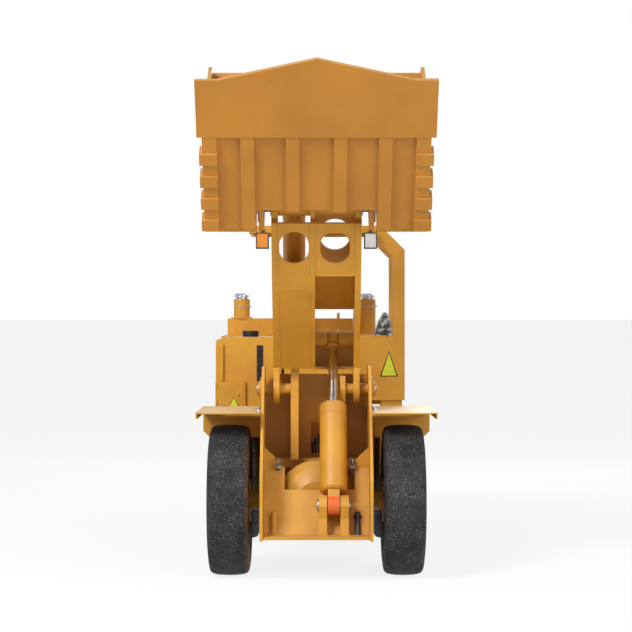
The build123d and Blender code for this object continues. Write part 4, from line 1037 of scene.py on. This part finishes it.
def dress_lamps(sizes):
    """Lenses with ribs in the four lamps."""
    lamps = [
        # node, side the lens looks to, lens finish
        ("lamp_front_left", -1, "amber_lens"),
        ("lamp_front_right", -1, "clear_lens"),
        ("lamp_rear_left", 1, "red_lens"),
        ("lamp_rear_right", 1, "red_lens"),
    ]
    ribs = 7
    for node, way, finish in lamps:
        low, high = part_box(node)
        top = low[2] + (0.124 if "front" in node else high[2] - low[2])
        face = low[1] if way < 0 else high[1]
        rib_y = face - way * 0.0015
        near, far = sorted((face - way * 0.0055, rib_y))
        bm = bmesh.new()
        add_box(bm, (low[0] + 0.009, near, low[2] + 0.009), (high[0] - 0.009, far, top - 0.009), 0.0012)
        for i in range(ribs):
            x = low[0] + 0.014 + (high[0] - low[0] - 0.028) * i / (ribs - 1)
            add_round(bm, (x, rib_y, low[2] + 0.012), (x, rib_y, top - 0.012), 0.0022, sides=8)
        object_from(bm, f"{node}_lens", finish)


def make_stage(sizes):
    """A white floor and surround, soft lamps and the camera of the photograph."""
    material, tree, _ = start_material("matt white floor")
    rays = link_node(tree, "ShaderNodeLightPath").outputs
    seen = worked(tree, "MAXIMUM", rays["Is Camera Ray"], rays["Is Glossy Ray"])
    seen = worked(tree, "MAXIMUM", seen, rays["Is Transmission Ray"])
    matt = link_node(tree, "ShaderNodeBsdfDiffuse", {"Color": srgb("DAD7D0"), "Roughness": 1.0}).outputs["BSDF"]
    bright = link_node(tree, "ShaderNodeEmission", {"Color": grey(1.0), "Strength": 1.0}).outputs["Emission"]
    share = worked(tree, "MULTIPLY", seen, 0.84)
    both = link_node(tree, "ShaderNodeMixShader", {0: share, 1: matt, 2: bright})
    link_node(tree, "ShaderNodeOutputMaterial", {"Surface": both.outputs["Shader"]})
    bm = bmesh.new()
    bmesh.ops.create_grid(bm, x_segments=1, y_segments=1, size=900.0)
    floor = new_object("studio_floor", mesh_from(bm, "studio_floor"))
    floor.data.materials.append(material)
    floor.location = (0, 0, CAD_BOX[0][2] - 0.0005)
    world = bpy.data.worlds.new("white surround")
    bpy.context.scene.world = world
    world.use_nodes = True
    tree = world.node_tree
    tree.nodes.clear()
    rays = link_node(tree, "ShaderNodeLightPath").outputs
    seen = worked(tree, "MAXIMUM", rays["Is Camera Ray"], rays["Is Transmission Ray"])
    levels = ((srgb("EDF1F6"), sizes.sky_level), (grey(1.0), 1.0))
    around, white = (
        link_node(tree, "ShaderNodeBackground", {"Color": colour, "Strength": level}).outputs["Background"]
        for colour, level in levels
    )
    both = link_node(tree, "ShaderNodeMixShader", {0: seen, 1: around, 2: white})
    link_node(tree, "ShaderNodeOutputWorld", {"Surface": both.outputs["Shader"]})
    lamps = [
        # name, place, size, power, aim
        ("sun_side", (-5.5, -9.0, 8.5), 3.0, sizes.key_power, (0, -0.8, 1.6)),
        ("fill_side", (6.5, -8.0, 3.5), 5.0, sizes.key_power * 0.28, (0, -0.8, 1.4)),
        ("back_side", (2.0, 8.0, 6.0), 4.0, sizes.key_power * 0.35, (0, 0.5, 1.4)),
    ]
    for name, place, size, power, aim in lamps:
        light = bpy.data.lights.new(name, "AREA")
        light.size = size
        light.energy = power
        lamp = new_object(name, light)
        lamp.location = place
        lamp.rotation_euler = (Vector(aim) - Vector(place)).to_track_quat("-Z", "Y").to_euler()
    lens = bpy.data.cameras.new("photo_camera")
    lens.sensor_width = SENSOR_MM
    lens.lens = LENS_PIXELS * SENSOR_MM / PHOTO_SIDE
    camera = new_object("photo_camera", lens)
    off_centre = (PHOTO_SIDE / 2 - CENTRE_COLUMN) * CAMERA_REACH / LENS_PIXELS
    camera.location = (off_centre, reach(CAMERA_REACH), CAMERA_HEIGHT)
    camera.rotation_euler = (math.radians(90), 0, 0)
    bpy.context.scene.camera = camera
    bpy.context.scene.view_settings.view_transform = "Standard"


NODE_FINISHES = {
    "yellow_enamel": (
        "front_frame boom rear_frame side_tank front_locker cab_tub canopy engine_hood side_step breather_left "
        "breather_right front_axle rear_axle rim_front_left rim_front_right rim_rear_left rim_rear_right "
        "steer_barrel_left steer_barrel_right tilt_barrel front_frame_pins"
    ),
    "bucket_enamel": "bucket_shell cutting_edge",
    "guard_enamel": "front_guard_left front_guard_right",
    # the lift barrel carries the orange-red painted reflection at its foot
    "cylinder_enamel": "lift_barrel",
    "hard_chrome": "lift_rod tilt_rod steer_rod_left steer_rod_right",
    "sprayed_rubber": "tyre_front_left",
    "tyre_rubber": "tyre_front_right tyre_rear_left tyre_rear_right",
    "turned_steel": "steering_hinge_pins bucket_hinge_pin",
    "grey_enamel": (
        "lamp_front_left lamp_front_right lamp_rear_left lamp_rear_right control_console seat_base radiator_grille"
    ),
    "polished_cap": "breather_cap_left breather_cap_right",
    "engine_iron": "engine_block",
    "vinyl": "seat_cushion seat_back",
}


def paint_nodes(sizes):
    """Makes the finishes from the panel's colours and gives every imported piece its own."""
    colours = bpy.context.scene.loader_paint
    make_materials(*(hex_of(colour) for colour in (colours.yellow, colours.shade, colours.bucket)))
    for finish, nodes in NODE_FINISHES.items():
        for node in nodes.split():
            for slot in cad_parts[node].material_slots:
                slot.material = MATERIALS[finish]


def hex_of(colour):
    """The hex code of a display colour."""
    return "".join(f"{max(0, min(255, round(channel * 255))):02X}" for channel in colour[:3])


def colour_setting(name, description, default):
    """A display colour of the panel."""
    return bpy.props.FloatVectorProperty(
        name=name, description=description, default=default, min=0, max=1, subtype="COLOR_GAMMA", size=3,
    )


def length_setting(name, description, default, least):
    """A length of the panel, in metres."""
    return bpy.props.FloatProperty(name=name, description=description, default=default, min=least, unit="LENGTH")


class LoaderPaint(bpy.types.PropertyGroup):
    """Colours of the sprayed enamel."""

    yellow: colour_setting("Enamel", "Main colour of the machine", (0.83, 0.60, 0.17))
    shade: colour_setting("Enamel shade", "Colour of thin and dusty enamel", (0.76, 0.53, 0.15))
    # painted shade: the bucket's colour is the machine's yellow darkened
    bucket: colour_setting("Bucket enamel", "Colour of the bucket, the yellow darkened as painted shade", (0.74, 0.49, 0.13))


class LoaderSizes(bpy.types.PropertyGroup):
    """Sizes of the fastenings and welds and levels of the studio lamps."""

    nut_across: length_setting("Wheel nut", "Width across flats of a wheel nut", 0.034, 0.01)
    bolt_across: length_setting("Plate bolt", "Width across flats of a plate bolt", 0.030, 0.01)
    weld_radius: length_setting("Weld bead", "Radius of a weld bead", 0.005, 0.001)
    key_power: bpy.props.FloatProperty(
        name="Main lamp", description="Power of the main lamp", default=1100.0, min=0, subtype="POWER",
    )
    sky_level: bpy.props.FloatProperty(
        name="Sky", description="Level of the light from all round", default=0.62, min=0, subtype="FACTOR",
    )


class Step:
    """Runs the function of one step with the panel's sizes."""

    def execute(self, context):
        self.work(context.scene.loader_sizes)
        return {"FINISHED"}


class FINISH_OT_paint(Step, bpy.types.Operator):
    """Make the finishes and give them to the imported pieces"""

    bl_idname = "loader.paint"
    bl_label = "Paint the machine"
    work = staticmethod(paint_nodes)


class WHEELS_OT_nuts(Step, bpy.types.Operator):
    """Add the wheel nuts, hub caps, valves and the ribs of the tyre walls"""

    bl_idname = "loader.wheels"
    bl_label = "Dress the wheels"
    work = staticmethod(dress_wheels)


class TYRES_OT_worn(Step, bpy.types.Operator):
    """Make the four worn tyres"""

    bl_idname = "loader.tyres"
    bl_label = "Fit the worn tyres"
    work = staticmethod(fit_tyres)


class BOOM_OT_details(Step, bpy.types.Operator):
    """Add the boom's welds, bushes and pipes"""

    bl_idname = "loader.boom"
    bl_label = "Dress the boom"
    work = staticmethod(dress_boom)


class BUCKET_OT_details(Step, bpy.types.Operator):
    """Add the bucket's welds and pin covers"""

    bl_idname = "loader.bucket"
    bl_label = "Dress the bucket"
    work = staticmethod(dress_bucket)


class FRAME_OT_details(Step, bpy.types.Operator):
    """Add the front frame's covers, welds, lock bars, shackles and hoses"""

    bl_idname = "loader.front_frame"
    bl_label = "Dress the front frame"
    work = staticmethod(dress_front_frame)


class GUARDS_OT_details(Step, bpy.types.Operator):
    """Add the mudguards' bolts and stiffeners"""

    bl_idname = "loader.guards"
    bl_label = "Dress the mudguards"
    work = staticmethod(dress_guards)


class CYLINDERS_OT_details(Step, bpy.types.Operator):
    """Add the cylinders' glands, ports and bushes"""

    bl_idname = "loader.cylinders"
    bl_label = "Dress the cylinders"
    work = staticmethod(dress_cylinders)


class BODY_OT_details(Step, bpy.types.Operator):
    """Add the tank's cap, strip and pipe, the locker door, grille, latches, exhaust and breathers"""

    bl_idname = "loader.body"
    bl_label = "Dress the body"
    work = staticmethod(dress_body)


class CAB_OT_details(Step, bpy.types.Operator):
    """Add the rim, rail, gaiters, pedals, gauges, plates and canopy bolts"""

    bl_idname = "loader.cab"
    bl_label = "Dress the cab"
    work = staticmethod(dress_cab)


class SEAT_OT_pads(Step, bpy.types.Operator):
    """Put the vinyl pads and their film over the plain seat"""

    bl_idname = "loader.seat"
    bl_label = "Upholster the seat"
    work = staticmethod(dress_seat)


class LAMPS_OT_details(Step, bpy.types.Operator):
    """Add the lamps' ribbed lenses"""

    bl_idname = "loader.lamps"
    bl_label = "Dress the lamps"
    work = staticmethod(dress_lamps)


class STUDIO_OT_stage(Step, bpy.types.Operator):
    """Set the floor, surround, lights and camera"""

    bl_idname = "loader.stage"
    bl_label = "Set the studio"
    work = staticmethod(make_stage)


STEPS = (
    FINISH_OT_paint, WHEELS_OT_nuts, TYRES_OT_worn, BOOM_OT_details, BUCKET_OT_details, FRAME_OT_details,
    GUARDS_OT_details, CYLINDERS_OT_details, BODY_OT_details, CAB_OT_details, SEAT_OT_pads, LAMPS_OT_details,
    STUDIO_OT_stage,
)


class LOADER_PT_steps(bpy.types.Panel):
    """Sizes, colours and steps of the loader's finish"""

    bl_label = "Loader finish"
    bl_idname = "LOADER_PT_steps"
    bl_space_type = "VIEW_3D"
    bl_region_type = "UI"
    bl_category = "Loader"

    def draw(self, context):
        for group in (context.scene.loader_paint, context.scene.loader_sizes):
            for name in group.bl_rna.properties.keys():
                if name not in ("rna_type", "name"):
                    self.layout.prop(group, name)
        for step in STEPS:
            self.layout.operator(step.bl_idname)


CLASSES = (LoaderPaint, LoaderSizes, *STEPS, LOADER_PT_steps)


def register():
    for kind in CLASSES:
        bpy.utils.register_class(kind)
    bpy.types.Scene.loader_paint = bpy.props.PointerProperty(type=LoaderPaint)
    bpy.types.Scene.loader_sizes = bpy.props.PointerProperty(type=LoaderSizes)


def unregister():
    del bpy.types.Scene.loader_sizes
    del bpy.types.Scene.loader_paint
    for kind in reversed(CLASSES):
        bpy.utils.unregister_class(kind)


def main():
    register()
    bpy.ops.loader.paint()
    bpy.ops.loader.wheels()
    bpy.ops.loader.tyres()
    bpy.ops.loader.boom()
    bpy.ops.loader.bucket()
    bpy.ops.loader.front_frame()
    bpy.ops.loader.guards()
    bpy.ops.loader.cylinders()
    bpy.ops.loader.body()
    bpy.ops.loader.cab()
    bpy.ops.loader.seat()
    bpy.ops.loader.lamps()
    bpy.ops.loader.stage()
    bpy.context.view_layer.update()


if __name__ == "__main__":
    main()
